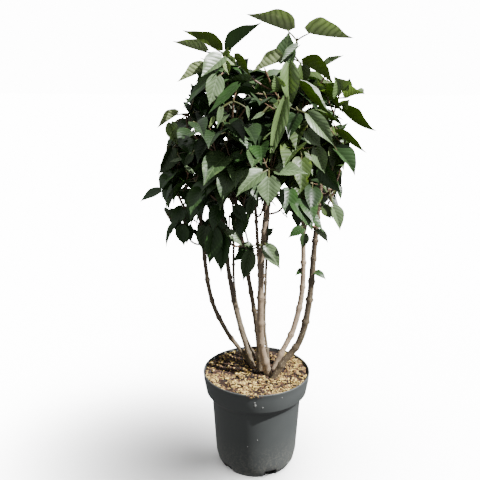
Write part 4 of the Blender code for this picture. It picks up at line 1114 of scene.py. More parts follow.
def blend(first, second, share):
    return first + (second - first) * share


def around(direction, angle):
    """The unit vector square to a direction, at an angle round it."""
    side, up = square_to(direction)
    return side * math.cos(angle) + up * math.sin(angle)


def tilted(direction, radial, degrees):
    """A direction tilted towards a vector square to it."""
    lean = math.radians(degrees)
    return (direction * math.cos(lean) + radial * math.sin(lean)).normalized()


class Limb:
    """A stem or bough: its points from foot to tip and the radius at each."""

    def __init__(self, points, radii):
        self.points = points
        self.radii = radii

    def at_height(self, height):
        """Axis point, direction and radius where the limb passes a height."""
        i = 0
        while i < len(self.points) - 2 and height > self.points[i + 1].z:
            i += 1
        a, b = self.points[i], self.points[i + 1]
        t = min(max((height - a.z) / (b.z - a.z), 0.0), 1.0)
        radius = self.radii[i] + (self.radii[i + 1] - self.radii[i]) * t
        return a.lerp(b, t), (b - a).normalized(), radius


def stem_limb(name, steps=STEM_STEPS):
    places, top, foot_radius, top_radius = STEMS[name]
    levels = list(STEM_LEVELS) + [top[2]]
    places = list(places) + [top[:2]]
    foot = GROUND - STEM_SUNK
    points, radii = [], []
    for i in range(steps + 1):
        share = (i / steps) ** STEM_SPACING
        height = foot + (top[2] - foot) * share
        x, y = level_path(levels, places, height)
        points.append(Vector((x, y, height)))
        rise = max(height - GROUND, 0.0)
        flare = FLARE_SHARE * foot_radius * math.exp(-rise / FLARE_RISE)
        slim = (1.0 - share) ** STEM_TAPER
        radii.append(top_radius + (foot_radius - top_radius) * slim + flare)
    return Limb(points, radii)


def spring_point(limb, goal):
    """Where a shoot bound for `goal` leaves a limb: its start, just clear of the bark, and way out."""
    height = goal.z
    for _ in range(4):
        place, _, _ = limb.at_height(height)
        spread = math.hypot(goal.x - place.x, goal.y - place.y)
        height = goal.z - SPRING_BELOW - SPRING_SLOPE * spread
        height = min(height, limb.points[-1].z - SPRING_UNDER_TOP)
        height = max(height, CROWN_FLOOR, limb.points[0].z + SPRING_OVER_FOOT)
    place, direction, radius = limb.at_height(height)
    out = goal - place
    out -= direction * out.dot(direction)
    out.normalize()
    bark = limb_taken(limb, GAP)
    reach = radius + GAP
    while True:
        start = place + out * reach
        root = twig_taken([start, start + out * STUB], TWIG_ROOT_RADIUS, None)
        if not root.touches(bark) or reach > radius + SPRING_MOST:
            return start, out
        reach += SPRING_NUDGE


def bough_limb(name, limbs, steps=BOUGH_STEPS):
    parent, tip, root_radius, tip_radius = BOUGHS[name]
    tip = Vector(tip)
    start, out = spring_point(limbs[parent], tip)
    points = [start] + arc_path(start + out * STUB, out, tip, leaning(out, BOUGH_LEAN), steps)
    last = len(points) - 1
    radii = [root_radius + (tip_radius - root_radius) * i / last for i in range(last + 1)]
    return Limb(points, radii)


# ---------------------------------------------------------------- growth: the source's rule

def loft(rings):
    """Corners and faces of a closed skin over rings of points, which may differ in count."""
    corners = [point for ring in rings for point in ring]
    faces = [tuple(reversed(range(len(rings[0]))))]
    start = 0
    for ring, following in zip(rings, rings[1:]):
        near, far = len(ring), len(following)
        after = start + near
        i = j = 0
        while i < near or (j < far and far > 1):
            here, there = start + i % near, after + j % far
            if far == 1 or (i < near and (i + 1) * far <= (j + 1) * near):
                faces.append((here, start + (i + 1) % near, there))
                i += 1
            else:
                faces.append((here, after + (j + 1) % far, there))
                j += 1
        start = after
    if len(rings[-1]) > 1:
        faces.append(tuple(range(start, start + len(rings[-1]))))
    return corners, faces


def tube_rings(points, radii, sides):
    rings = []
    for i, (place, radius) in enumerate(zip(points, radii)):
        ahead = points[min(i + 1, len(points) - 1)] - points[max(i - 1, 0)]
        ahead.normalize()
        side, up = square_to(ahead)
        rings.append([place + side * radius * math.cos(math.tau * k / sides)
                      + up * radius * math.sin(math.tau * k / sides) for k in range(sides)])
    return rings


class Leaf:
    """One leaf in its place: the petiole's root and direction, then the blade's course in degrees."""

    def __init__(self, root, petiole, heading, pitch, droop, roll, fold, length):
        self.root = root
        self.petiole = petiole
        self.heading = heading
        self.pitch = math.radians(pitch)
        self.droop = math.radians(droop)
        self.roll = math.radians(roll)
        self.fold = math.radians(fold)
        self.length = length
        self.width = LEAF_WIDTH * length / 2.0
        self.base = root + petiole * PETIOLE_LENGTH * length / LEAF_LENGTH

    def frame(self, share):
        """Midrib direction, side and upper normal at a share of the blade's length."""
        pitch = self.pitch - self.droop * share
        midrib = self.heading * math.cos(pitch) + Vector((0, 0, math.sin(pitch)))
        side = self.heading.cross(Vector((0, 0, 1)))
        side = Matrix.Rotation(self.roll, 3, midrib) @ side
        return midrib, side, side.cross(midrib)

    def midrib_point(self, share):
        place = self.base.copy()
        for i in range(MIDRIB_STEPS):
            midrib, _, _ = self.frame(share * (i + 0.5) / MIDRIB_STEPS)
            place += midrib * self.length * share / MIDRIB_STEPS
        return place

    def tip(self):
        return self.midrib_point(1.0)

    def stalk_ring(self, place):
        """Three corners round the petiole, with an edge below and a flat above."""
        side = self.heading.cross(Vector((0.0, 0.0, 1.0)))
        up = side.cross(self.petiole).normalized()
        half = side * PETIOLE_RADIUS * math.cos(math.radians(30.0))
        flat = place + up * PETIOLE_RADIUS * math.sin(math.radians(30.0))
        return [flat - half, place - up * PETIOLE_RADIUS, flat + half]

    def blade_rings(self, thickness):
        """The blade from base to point, with one four-cornered section: edge, keel, edge, fold."""
        _, _, up = self.frame(LEAF_WIDEST)
        middle, out, lift = to_edge(self, LEAF_WIDEST)
        section = [middle - out + lift, middle - up * thickness / 2,
                   middle + out + lift, middle + up * thickness / 2]
        return [self.stalk_ring(self.base), section, [self.tip()]]

    def full_rings(self):
        """The blade with its lobes, for telling what it hides."""
        rings = [self.stalk_ring(self.base)]
        for share, size in FULL_ROWS:
            _, _, up = self.frame(share)
            middle, out, lift = to_edge(self, share, size)
            rings.append([middle - out + lift, middle - up * LEAF_THICK, middle + out + lift, middle])
        return rings + [[self.tip()]]

    def stalk_rings(self):
        return [self.stalk_ring(self.root - self.petiole * LEAF_SUNK), self.stalk_ring(self.base)]


def to_edge(leaf, share, size=1.0):
    """A blade's midrib at a share of its length, and the ways out and up from there to its edge."""
    _, side, up = leaf.frame(share)
    out = side * leaf.width * size * math.cos(leaf.fold)
    lift = up * leaf.width * size * math.sin(leaf.fold)
    return leaf.midrib_point(share), out, lift


def seen_at(place):
    """Where the camera sees a place: pixels across and down its frame."""
    offset = TO_CAMERA @ (place - Vector(CAMERA_PLACE))
    return Vector((MIDDLE - ZOOM * offset.x / offset.z, MIDDLE + ZOOM * offset.y / offset.z))


def place_seen_at(across, down, back):
    """The place that is seen at a pixel and lies at y = back."""
    ray = FROM_CAMERA @ Vector(((across - MIDDLE) / ZOOM, (MIDDLE - down) / ZOOM, -1.0))
    return Vector(CAMERA_PLACE) + ray * (back - CAMERA_PLACE[1]) / ray.y


class PlacedLeaf:
    """A leaf set between two given places, its upper side facing a given way."""

    def __init__(self, base, tip, base_back, tip_back, facing, fold, width, arch, tone):
        self.base = place_seen_at(*base, base_back)
        self.end = place_seen_at(*tip, tip_back)
        self.length = (self.end - self.base).length
        self.line = (self.end - self.base).normalized()
        facing = Vector(facing)
        self.up = (facing - self.line * facing.dot(self.line)).normalized()
        self.side = self.line.cross(self.up)
        self.fold = math.radians(fold)
        self.width = width * self.length / 2.0
        self.arch = arch
        self.tone = tone

    def frame(self, share):
        midrib = (self.line + self.up * self.arch * 4.0 * (1.0 - 2.0 * share)).normalized()
        return midrib, self.side, self.side.cross(midrib)

    def midrib_point(self, share):
        rise = 4.0 * share * (1.0 - share) * self.arch * self.length
        return self.base + self.line * self.length * share + self.up * rise

    def blade_rings(self, thickness):
        middle = self.midrib_point(LEAF_WIDEST)
        out = self.side * self.width * math.cos(self.fold)
        lift = self.up * self.width * math.sin(self.fold)
        start = [self.base + self.side * PETIOLE_RADIUS, self.base + self.up * PETIOLE_RADIUS,
                 self.base - self.side * PETIOLE_RADIUS]
        section = [middle + out + lift, middle + self.up * thickness / 2,
                   middle - out + lift, middle - self.up * thickness / 2]
        return [start, section, [self.end]]

    def surface_spots(self):
        """Places spread over the blade."""
        spots = []
        for share, column in SHOWN_SPOTS:
            _, side, up = self.frame(share)
            half = self.width * column
            spots.append(self.midrib_point(share) + side * half * math.cos(self.fold)
                         + up * abs(half) * math.sin(self.fold))
        return spots


def inside_outline(spot, outline=CROWN_OUTLINE):
    """Whether a seen spot is inside an outline, such as the crown's."""
    inside = False
    last = outline[-1]
    for corner in outline:
        if (corner[1] > spot.y) != (last[1] > spot.y):
            cross = corner[0] + (spot.y - corner[1]) * (last[0] - corner[0]) / (last[1] - corner[1])
            if spot.x < cross:
                inside = not inside
        last = corner
    return inside


def seen_outline(leaf):
    """A leaf's outline as it is seen."""
    left, right = [], []
    for share, part in OUTLINE_ROWS:
        middle, out, lift = to_edge(leaf, share, part)
        left.append(seen_at(middle + lift - out))
        right.append(seen_at(middle + lift + out))
    return [seen_at(leaf.midrib_point(0.0))] + right + [seen_at(leaf.midrib_point(1.0))] + left[::-1]


def in_the_open(leaf):
    """Whether a grown leaf would stand outside the crown or in an open place of it."""
    spots = [seen_at(leaf.midrib_point(share)) for share in (0.0, 0.35, 0.7, 1.0)]
    middle, out, lift = to_edge(leaf, LEAF_WIDEST)
    spots += [seen_at(middle - out + lift), seen_at(middle + out + lift)]
    for spot in spots:
        if not inside_outline(spot):
            return True
        for across, down, reach in OPENINGS:
            if (spot - Vector((across, down))).length < reach:
                return True
    openings = [Vector(row[:2]) for row in OPENINGS]
    near = [place for place in openings if (place - spots[1]).length < OPENING_NEAR]
    if not near:
        return False
    outline = seen_outline(leaf)
    return any(inside_outline(place, outline) for place in near)


def hides_placed(blade):
    """Whether a blade stands between the camera and a placed leaf."""
    eye = Vector(CAMERA_PLACE)
    middle = seen_at(blade.centre)
    for place, spot in shown_spots:
        if (spot - middle).length < SHOWN_REACH:
            way = place - eye
            distance = way.length
            if blade.tree.ray_cast(eye, way / distance, distance - SHOWN_GAP)[0] is not None:
                return True
    return False


class Taken:
    """A shape already in its place, kept for testing what comes later."""

    def __init__(self, rings, mass, kind):
        corners, faces = loft(rings)
        self.tree = BVHTree.FromPolygons(corners, faces)
        low = Vector([min(c[k] for c in corners) for k in range(3)])
        high = Vector([max(c[k] for c in corners) for k in range(3)])
        self.centre = (low + high) / 2
        self.radius = (high - low).length / 2
        self.mass = mass
        self.kind = kind

    def near(self, other):
        return (self.centre - other.centre).length < self.radius + other.radius

    def touches(self, other):
        return self.near(other) and bool(self.tree.overlap(other.tree))


def in_crown(place):
    if not CROWN_FLOOR <= place.z <= CROWN_TOP:
        return False
    return (place.x / CROWN_HALF_WIDTH) ** 2 + (place.y / CROWN_HALF_DEPTH) ** 2 <= 1.0


def limb_taken(limb, clearance):
    radii = [radius + clearance for radius in limb.radii]
    return Taken(tube_rings(limb.points, radii, LIMB_SIDES), None, "limb")


def twig_taken(path, radius, mass):
    return Taken(tube_rings(path, [radius] * len(path), TWIG_SIDES), mass, "twig")


def hang(height):
    """How far leaves hang at a height: 0 spread level, 1 hanging."""
    return min(max((SAG_TOP - height) / (SAG_TOP - SAG_FOOT), 0.0), 1.0)


def try_leaf(node, direction, turn, size, dice, mass, taken):
    """Place one leaf at a node, or a little aside where something is in the way, or not at all."""
    sag = hang(node.z)
    length = LEAF_LENGTH * size * (1.0 - LOW_LEAF_LESS * sag)
    pitch = blend(LEAF_PITCH_TOP, LEAF_PITCH_FOOT, sag) + dice.uniform(-LEAF_WOBBLE, LEAF_WOBBLE)
    droop = blend(LEAF_DROOP_TOP, LEAF_DROOP_FOOT, sag) + dice.uniform(-LEAF_WOBBLE, LEAF_WOBBLE)
    roll = dice.uniform(-LEAF_ROLL, LEAF_ROLL)
    fold = blend(LEAF_FOLD_TOP, LEAF_FOLD_FOOT, sag)
    for swing, dip in LEAF_SWINGS:
        radial = around(direction, turn + math.radians(swing))
        petiole = tilted(direction, radial, PETIOLE_ANGLE)
        heading = Vector((petiole.x, petiole.y, 0.0))
        if heading.length < HEADING_LEAST:
            heading = Vector((direction.x + radial.x, direction.y + radial.y, 0.0))
        heading.normalize()
        leaf = Leaf(node, petiole, heading, pitch + dip, droop, roll, fold, length)
        if not in_crown(leaf.tip()) or in_the_open(leaf):
            continue
        blade = Taken(leaf.blade_rings(LEAF_THICK + 2 * LEAF_CLEAR), mass, "blade")
        stalk = Taken(leaf.stalk_rings(), mass, "stalk")
        full = Taken(leaf.full_rings(), mass, "blade")
        if hides_placed(full) or in_the_sunlight(full):
            continue
        if leaf_is_clear(blade, stalk, taken):
            taken.extend((blade, stalk))
            return leaf
    return None


def find_sunlit_spots(limb):
    """Both sides of the bare part of a stem that the sun reaches between the leaves."""
    low, high = SUNLIT_HEIGHTS
    across = SUN_FROM.cross(Vector((0.0, 0.0, 1.0))).normalized() * SUNLIT_HALF
    for k in range(SUNLIT_STEPS + 1):
        place, _, _ = limb.at_height(blend(low, high, k / SUNLIT_STEPS))
        sunlit_spots.extend((place - across, place + across))


def in_the_sunlight(blade):
    """Whether a blade would shade a sunlit place."""
    return any(blade.tree.ray_cast(spot, SUN_FROM)[0] is not None for spot in sunlit_spots)


def leaf_is_clear(blade, stalk, taken):
    """A blade keeps clear of everything, a stalk of all but its own mass's twigs and stalks."""
    for other in taken:
        if blade.touches(other):
            return False
        fused = other.mass == stalk.mass and other.kind != "blade"
        if not fused and stalk.touches(other):
            return False
    return True


def with_bud(path):
    """A twig's path with the bud that ends it."""
    return path + [path[-1] + (path[-1] - path[-2]).normalized() * BUD_LENGTH]


def twig_leaves(path, first_turn, size, top_size, dice, mass, taken):
    """Opposite pairs from the last node of a twig down towards its root."""
    leaves = []
    distance = path_length(path) - BUD_LENGTH
    pair = 0
    while distance > NODE_CLEAR:
        for half in (0.0, math.pi):
            node, direction = along(path, distance - half * PAIR_OFFSET)
            wobble = math.radians(dice.uniform(-PAIR_WOBBLE, PAIR_WOBBLE))
            turn = first_turn + pair * math.pi / 2 + half + wobble
            grown = size * (top_size if pair == 0 else 1.0) * dice.uniform(*LEAF_SIZE_RANGE)
            leaf = try_leaf(node, direction, turn, grown, dice, mass, taken)
            if leaf is not None:
                leaves.append(leaf)
        distance -= INTERNODE * dice.uniform(*INTERNODE_RANGE)
        pair += 1
    return leaves


class Mass:
    """One shoot: its twigs and leaves, worked out in passes."""

    def __init__(self, number, limb, goal, turn, leader):
        self.number = number
        self.dice = random.Random(SEED * 1000 + number)
        self.turn = math.radians(turn)
        goal = Vector(goal)
        if leader:
            out = (limb.points[-1] - limb.points[-2]).normalized()
            start = limb.points[-1] + out * GAP
            self.root_radius = limb.radii[-1]
            rise = (goal - start).normalized()
        else:
            start, out = spring_point(limb, goal)
            self.root_radius = TWIG_ROOT_RADIUS
            rise = leaning(out, TWIG_LEAN)
        self.out = out
        self.path = with_bud([start] + arc_path(start + out * STUB, out, goal, rise, TWIG_STEPS))
        self.top_size = LEADER_TOP_SIZE if leader else SHOOT_TOP_SIZE
        self.twigs = [(self.path, self.root_radius, TWIG_TIP_RADIUS)]
        self.leaves = []

    def claim_twig(self, taken):
        taken.append(twig_taken(self.path, self.root_radius, self.number))

    def grow_leaves(self, path, turn, size, top_size, taken):
        self.leaves += twig_leaves(path, turn, size, top_size, self.dice, self.number, taken)

    def leaf_main_twig(self, taken):
        self.grow_leaves(self.path, self.turn, 1.0, self.top_size, taken)

    def fork(self, share, taken, leaf_size=FORK_LEAF_SIZE, radius=TWIG_TIP_RADIUS):
        """A side twig from part of the way up the main one, in the first free direction of a few."""
        length = path_length(self.path) - BUD_LENGTH
        if length * share < FORK_LEAST:
            return
        node, direction = along(self.path, length * share)
        for _ in range(FORK_TRIES):
            way = tilted(direction, around(direction, self.dice.uniform(0.0, math.tau)), FORK_ANGLE)
            spread = self.dice.uniform(-FORK_LENGTH_SPREAD, FORK_LENGTH_SPREAD)
            end = node + way * FORK_LENGTH * (1.0 + spread)
            rise = (way + Vector((0.0, 0.0, FORK_TURN_UP))).normalized()
            path = with_bud(arc_path(node, way, end, rise, FORK_STEPS))
            twig = twig_taken(path[1:], radius, self.number)
            inside = in_crown(end) and inside_outline(seen_at(end))
            if inside and not any(twig.touches(other) for other in taken):
                taken.append(twig)
                turn = self.dice.uniform(0.0, math.pi)
                before = len(self.leaves)
                self.grow_leaves(path, turn, leaf_size, SHOOT_TOP_SIZE, taken)
                if len(self.leaves) > before:
                    self.twigs.append((path, radius, radius))
                return


def grow(limbs):
    """All the masses: the source's passes first, so that its leaves keep their places, then finer ones."""
    taken = [limb_taken(limb, LIMB_CLEAR) for limb in limbs.values()]
    taken += [Taken(leaf.blade_rings(LEAF_THICK), None, "blade") for leaf in placed_leaves]
    rows = [(row, True) for row in LEADERS] + [(row, False) for row in SHOOTS]
    masses = [Mass(number, limbs[name], goal, turn, leader)
              for number, ((name, goal, turn), leader) in enumerate(rows, start=1)]
    for mass in masses:
        mass.claim_twig(taken)
    for mass in masses:
        mass.leaf_main_twig(taken)
    for mass in masses:
        mass.fork(FORK_SHARE, taken)
    inner = [Mass(number, limbs[name], goal, turn, False)
             for number, (name, goal, turn) in enumerate(INNER_SHOOTS, start=len(masses) + 1)]
    for mass in inner:
        mass.leaf_main_twig(taken)
        mass.fork(FORK_SHARE, taken)
    masses += [mass for mass in inner if mass.leaves]
    kept_clear = [other for other in taken if other.mass is None]
    for share, size in FINE_FORKS:
        for mass in masses:
            mass.fork(share, kept_clear.copy(), size, FINE_TWIG_RADIUS)
    return masses


# ---------------------------------------------------------------- stems and boughs as shown

def limb_nodes(length, dice):
    """Distances from the foot to a limb's nodes, closer together towards its tip."""
    places = []
    distance = NODE_FIRST
    while distance < length - NODE_LAST:
        places.append(distance)
        closer = NODE_FOOT - NODE_CLOSER * distance / length
        distance += STEM_INTERNODE * dice.uniform(*NODE_RANGE) * closer
    return places


def build_limb(name, points, radii, material, texture, scars, dice):
    length = path_length(points)
    nodes = limb_nodes(length, dice)
    curve = bpy.data.curves.new(name + "_bark", "CURVE")
    curve.dimensions = "3D"
    curve.bevel_depth = BARK_UNIT
    curve.bevel_resolution = LIMB_RESOLUTION
    curve.use_fill_caps = True
    spline = curve.splines.new("POLY")
    count = max(int(length / LIMB_STEP), LIMB_LEAST)
    spline.points.add(count)
    reached = [0.0]
    for a, b in zip(points, points[1:]):
        reached.append(reached[-1] + (b - a).length)
    for i, knot in enumerate(spline.points):
        distance = length * i / count
        place, _ = along(points, distance)
        k = part_at(reached, distance)
        share = (distance - reached[k]) / (reached[k + 1] - reached[k])
        radius = blend(radii[k], radii[k + 1], min(share, 1.0))
        swell = sum(math.exp(-((distance - node) / SWELL_REACH) ** 2) for node in nodes)
        knot.co = (*place, 1.0)
        knot.radius = radius * (BARK_FULLER + SWELL_SHARE * min(swell, 1.0)) / BARK_UNIT
    only_selected(linked(name + "_bark", curve))
    bpy.ops.object.convert(target="MESH")
    limb = bpy.context.object
    bpy.ops.object.mode_set(mode="EDIT")
    bpy.ops.mesh.select_all(action="SELECT")
    bpy.ops.mesh.remove_doubles(threshold=MELD)
    leave_edit()
    relief = limb.modifiers.new("bark relief", "DISPLACE")
    relief.texture = texture
    relief.texture_coords = "LOCAL"
    relief.strength = BARK_RELIEF
    relief.mid_level = 0.5
    apply_modifiers(limb)
    bpy.ops.object.shade_smooth_by_angle(angle=math.radians(BARK_EDGE))
    limb.data.materials.append(material)
    dress(limb, "bark", name)

    for i, node in enumerate(nodes):
        place, direction = along(points, node)
        radius = radii[part_at(reached, node)]
        for half in (0.0, math.pi):
            turn = i * math.pi / 2 + half + dice.uniform(-SCAR_WOBBLE, SCAR_WOBBLE)
            radial = around(direction, turn)
            size = SCAR_SIZE * (0.7 + 0.3 * radius / SCAR_STEM)
            scars.append((place + radial * radius * SCAR_OUT, tilted(direction, radial, SCAR_ANGLE), size))


def oval(pile, middle, axis, length, radius):
    """A small pointed oval, such as a bud or the knob of a leaf scar."""
    side, up = square_to(axis)
    rings = []
    for share, size in OVAL_ROWS:
        turns = [math.tau * k / OVAL_SIDES for k in range(OVAL_SIDES)]
        rings.append([middle + axis * length * share
                      + (side * math.cos(turn) + up * math.sin(turn)) * radius * size for turn in turns])
    pile.add(*loft(rings + [[middle + axis * length * OVAL_POINT]]))


# ---------------------------------------------------------------- twigs and leaves as shown

def between_rows(values, share):
    """A value of the blade's outline at any share of its length."""
    i = part_at(BLADE_ROWS, share)
    t = (share - BLADE_ROWS[i]) / (BLADE_ROWS[i + 1] - BLADE_ROWS[i])
    before = values[max(i - 1, 0)]
    after = values[min(i + 2, len(values) - 1)]
    a, b = values[i], values[i + 1]
    near, far, leaving, arriving = smooth_weights(t)
    return near * a + leaving * (b - before) / 2.0 + far * b + arriving * (after - a) / 2.0


def blade_shape(leaf, rows, columns, wider, dice):
    """Points of both skins of a heart-shaped blade, folded along the midrib and waved at its edge."""
    wave = dice.uniform(0.0, math.tau)
    cup = dice.uniform(*BLADE_CUP)
    width = leaf.width * wider
    top, bottom, uvs = [], [], []
    for row in rows:
        half = between_rows(BLADE_HALF, row) if row < 1.0 else 0.0
        lobe = between_rows(BLADE_LOBE, row)
        midrib, side, up = leaf.frame(row)
        middle = leaf.midrib_point(row)
        for column in columns:
            reach = abs(column)
            fold = leaf.fold * (1.0 - (1.0 - cup) * reach)
            wide = width * half * column * math.cos(fold)
            lift = width * half * reach * math.sin(fold)
            ripple = BLADE_WAVE * width * reach ** 2
            ripple *= math.sin(wave + WAVE_ALONG * row + WAVE_ACROSS * column)
            point = (middle + side * wide + up * (lift + ripple * min(half * 2.0, 1.0))
                     + midrib * leaf.length * lobe * reach)
            normal = (up * math.cos(fold) - side * math.copysign(math.sin(fold), column)
                      if column else up)
            rim = reach == 1.0 or row == 1.0
            top.append(point)
            bottom.append(point if rim else point - normal * BLADE_SKIN)
            uvs.append((0.5 + 0.5 * column * half, row + lobe * reach))
    return top, bottom, uvs


def add_blade(pile, leaf, dice):
    """A closed blade: an upper skin in the first material and a lower one in the second."""
    placed = isinstance(leaf, PlacedLeaf)
    if not placed:
        leaf.length *= BLADE_SHOWN
        leaf.width *= BLADE_SHOWN
    rows = [k / FINE_ROWS for k in range(FINE_ROWS + 1)] if placed else BLADE_ROWS
    columns = FINE_COLUMNS if placed else BLADE_COLUMNS
    top, bottom, uvs = blade_shape(leaf, rows, columns, 1.0 if placed else BLADE_WIDER, dice)
    across, count = len(columns), len(rows)
    corners, places = [], {}

    def corner(row, column, lower):
        """The number of a corner, shared by both skins along the rim and at the tip."""
        if row == count - 1:
            key = ("tip",)
        elif column in (0, across - 1):
            key = (row, column)
        else:
            key = (row, column, lower)
        if key not in places:
            places[key] = len(corners)
            k = row * across + (across // 2 if row == count - 1 else column)
            corners.append((bottom[k] if lower else top[k], uvs[k]))
        return places[key]

    faces, slots = [], []
    for lower in (False, True):
        for row in range(count - 1):
            for column in range(across - 1):
                face = [corner(row, column, lower), corner(row, column + 1, lower),
                        corner(row + 1, column + 1, lower), corner(row + 1, column, lower)]
                if row == count - 2:
                    face = face[:3]
                if lower:
                    face.reverse()
                faces.append(tuple(face))
                slots.append(1 if lower else 0)
    base = [corner(0, column, False) for column in range(across)]
    under = [corner(0, column, True) for column in range(across - 2, 0, -1)]
    faces.append(tuple(reversed(base + under)))
    slots.append(1)
    pile.add([point for point, _ in corners], faces, slots, [uv for _, uv in corners])


def tube(pile, points, radii, sides):
    pile.add(*loft(tube_rings(points, radii, sides)))


def stalk_path(leaf):
    """From inside the twig to the blade's base, sagging into the midrib's own direction."""
    midrib, _, _ = leaf.frame(0.0)
    return arc_path(leaf.root - leaf.petiole * STALK_SUNK, leaf.petiole, leaf.base + midrib * STALK_INTO,
                    midrib, len(STALK_RADII) - 1)


def smooth_twig(path):
    """A finer run of points along a twig."""
    length = path_length(path)
    count = max(int(length / TWIG_SHOWN_STEP), 4)
    fine = [along(path, length * i / count)[0] for i in range(count + 1)]
    for _ in range(2):
        fine = [fine[0]] + [(a + b * 2 + c) / 4 for a, b, c in zip(fine, fine[1:], fine[2:])] + [fine[-1]]
    return fine


def tone_of(mass):
    """A spray's tone by where it grows: bright to the right, deep or dark, as painted shade, to the left.
    """
    place = mass.path[-1]
    if (seen_at(place) - SHADED_HOLLOW_MIDDLE).length < SHADED_HOLLOW_REACH:
        tones = TONES_PAINTED_SHADE
    elif place.z > TONES_HIGH_FROM:
        tones = TONES_HIGH
    else:
        _, height, over, under = next(row for row in TONES_ACROSS if place.x > row[0])
        tones = over if place.z > height else under
    return tones[mass.number % 3]


def nearest_carrier(place, carriers):
    """The nearest place on any twig or limb."""
    return min(carriers, key=lambda carrier: (carrier - place).length)


def rising(way, lift):
    """A direction turned up a little."""
    return (way + Vector((0.0, 0.0, lift))).normalized()


def add_placed(blades, twigs, stalks, buds, carriers, dice):
    """The placed leaves, each on a stalk from the nearest twig, or on a small twig of its own."""
    for leaf in placed_leaves:
        add_blade(blades[leaf.tone], leaf, dice)
        start, _, _ = leaf.frame(0.0)
        wanted = leaf.base - start * WANTED_SHARE * PETIOLE_LENGTH
        root = nearest_carrier(wanted, carriers)
        if (wanted - root).length > TWIG_NEEDED:
            node = leaf.base.lerp(root, SMALL_TWIG_SHORT) - Vector((0.0, 0.0, SMALL_TWIG_LOW))
            way = (node - root).normalized()
            path = arc_path(root, rising(way, SMALL_TWIG_RISE), node, way, PLACED_STEPS)
            tube(twigs, path, [SMALL_TWIG] * len(path), PLACED_STEPS)
            oval(buds, node + way * BUD_AHEAD, way, SMALL_BUD_LENGTH, SMALL_TWIG)
            root = node
        way = (leaf.base - root).normalized()
        into = (way * (1.0 - STALK_BEND) + start * STALK_BEND).normalized()
        stalk = arc_path(root, rising(way, STALK_RISE), leaf.base + start * STALK_INTO, into, PLACED_STEPS)
        tube(stalks, stalk, PLACED_STALK_RADII, STALK_SIDES)


def build_foliage(masses, limbs, materials):
    nodes = sorted(name for name in frame["nodes"] if name.startswith("foliage_"))
    dice = random.Random(SEED + 1)
    blades = {tone: Pile() for tone in LEAF_TONES}
    twigs, stalks, buds = Pile(), Pile(), Pile()
    carriers = []
    for mass in masses:
        for i, (path, root, tip) in enumerate(mass.twigs):
            start = path[0] - (mass.out * ROOT_SUNK if i == 0 else Vector((0.0, 0.0, 0.0)))
            fine = smooth_twig([start] + path[1:-1])
            carriers += fine
            radii = [blend(root, tip, k / (len(fine) - 1)) * TWIG_SHOWN for k in range(len(fine))]
            tube(twigs, fine, radii, TWIG_SHOWN_SIDES)
            axis = (path[-1] - path[-2]).normalized()
            oval(buds, path[-2] + axis * BUD_AHEAD, axis, BUD_LENGTH, BUD_RADIUS)
        for leaf in mass.leaves:
            add_blade(blades[tone_of(mass)], leaf, dice)
            tube(stalks, stalk_path(leaf), STALK_RADII, STALK_SIDES)
            axil = leaf.root + leaf.petiole * AXIL_PLACE[0] + Vector((0, 0, AXIL_PLACE[1]))
            oval(buds, axil, leaf.petiole, *AXIL_BUD)
    for limb in limbs.values():
        length = path_length(limb.points)
        carriers += [along(limb.points, length * k / CARRIER_STEPS)[0]
                     for k in range(CARRIER_FIRST, CARRIER_STEPS + 1)]
    add_placed(blades, twigs, stalks, buds, carriers, dice)
    pieces = [("leaves_" + tone, pile, tone, BLADE_EDGE) for tone, pile in blades.items()]
    pieces += [("twigs", twigs, "twig", TWIG_EDGE), ("leaf_stalks", stalks, "stalk", SMALL_EDGE),
               ("buds", buds, "bud", SMALL_EDGE)]
    for name, pile, material, edge in pieces:
        dress(pile.piece(name, materials[material], edge), "foliage", *nodes)


# ---------------------------------------------------------------- the whole plant

placed_leaves = []
shown_spots = []          # places on the placed leaves, and where each is seen
sunlit_spots = []


def build_limbs(limbs):
    """Stems and boughs with bark, then the scars of old leaves on them."""
    tan_and_sunlit_bark = stem_bark("young tan lilac bark, partly painted sunlight", "#43372a", "#94816a", 0.66, 0.98)
    grey_bark = stem_bark("grey brown lilac bark", "#2a221b", "#5e523c", 0.56, 0.90)
    texture = bpy.data.textures.new("bark relief", "CLOUDS")
    texture.noise_scale = BARK_LUMP
    dice = random.Random(SEED + 2)
    scars = []
    for name in limbs:
        if name in STEMS:
            fine = stem_limb(name, SHOWN_STEPS)
            fuller = STEM_FULLER.get(name, 1.0)
            points = fine.points
            radii = [radius * blend(1.0, fuller, min(k / FULLER_STEPS, 1.0))
                     for k, radius in enumerate(fine.radii)]
        else:
            fine = bough_limb(name, limbs, SHOWN_BOUGH_STEPS)
            start = fine.points[0] - (fine.points[1] - fine.points[0]).normalized() * ROOT_SUNK
            points, radii = [start] + fine.points[1:], fine.radii
        # Tan bark, partly painted sunlight, on the limbs listed in TAN_LIMBS.
        bark = tan_and_sunlit_bark if name in TAN_LIMBS else grey_bark
        build_limb(name, points, radii, bark, texture, scars, dice)
    knobs = Pile()
    for place, axis, size in scars:
        oval(knobs, place, axis, size * SCAR_LONG, size * SCAR_WIDE)
    dress(knobs.piece("leaf_scars", [grey_bark], SMALL_EDGE), "bark")


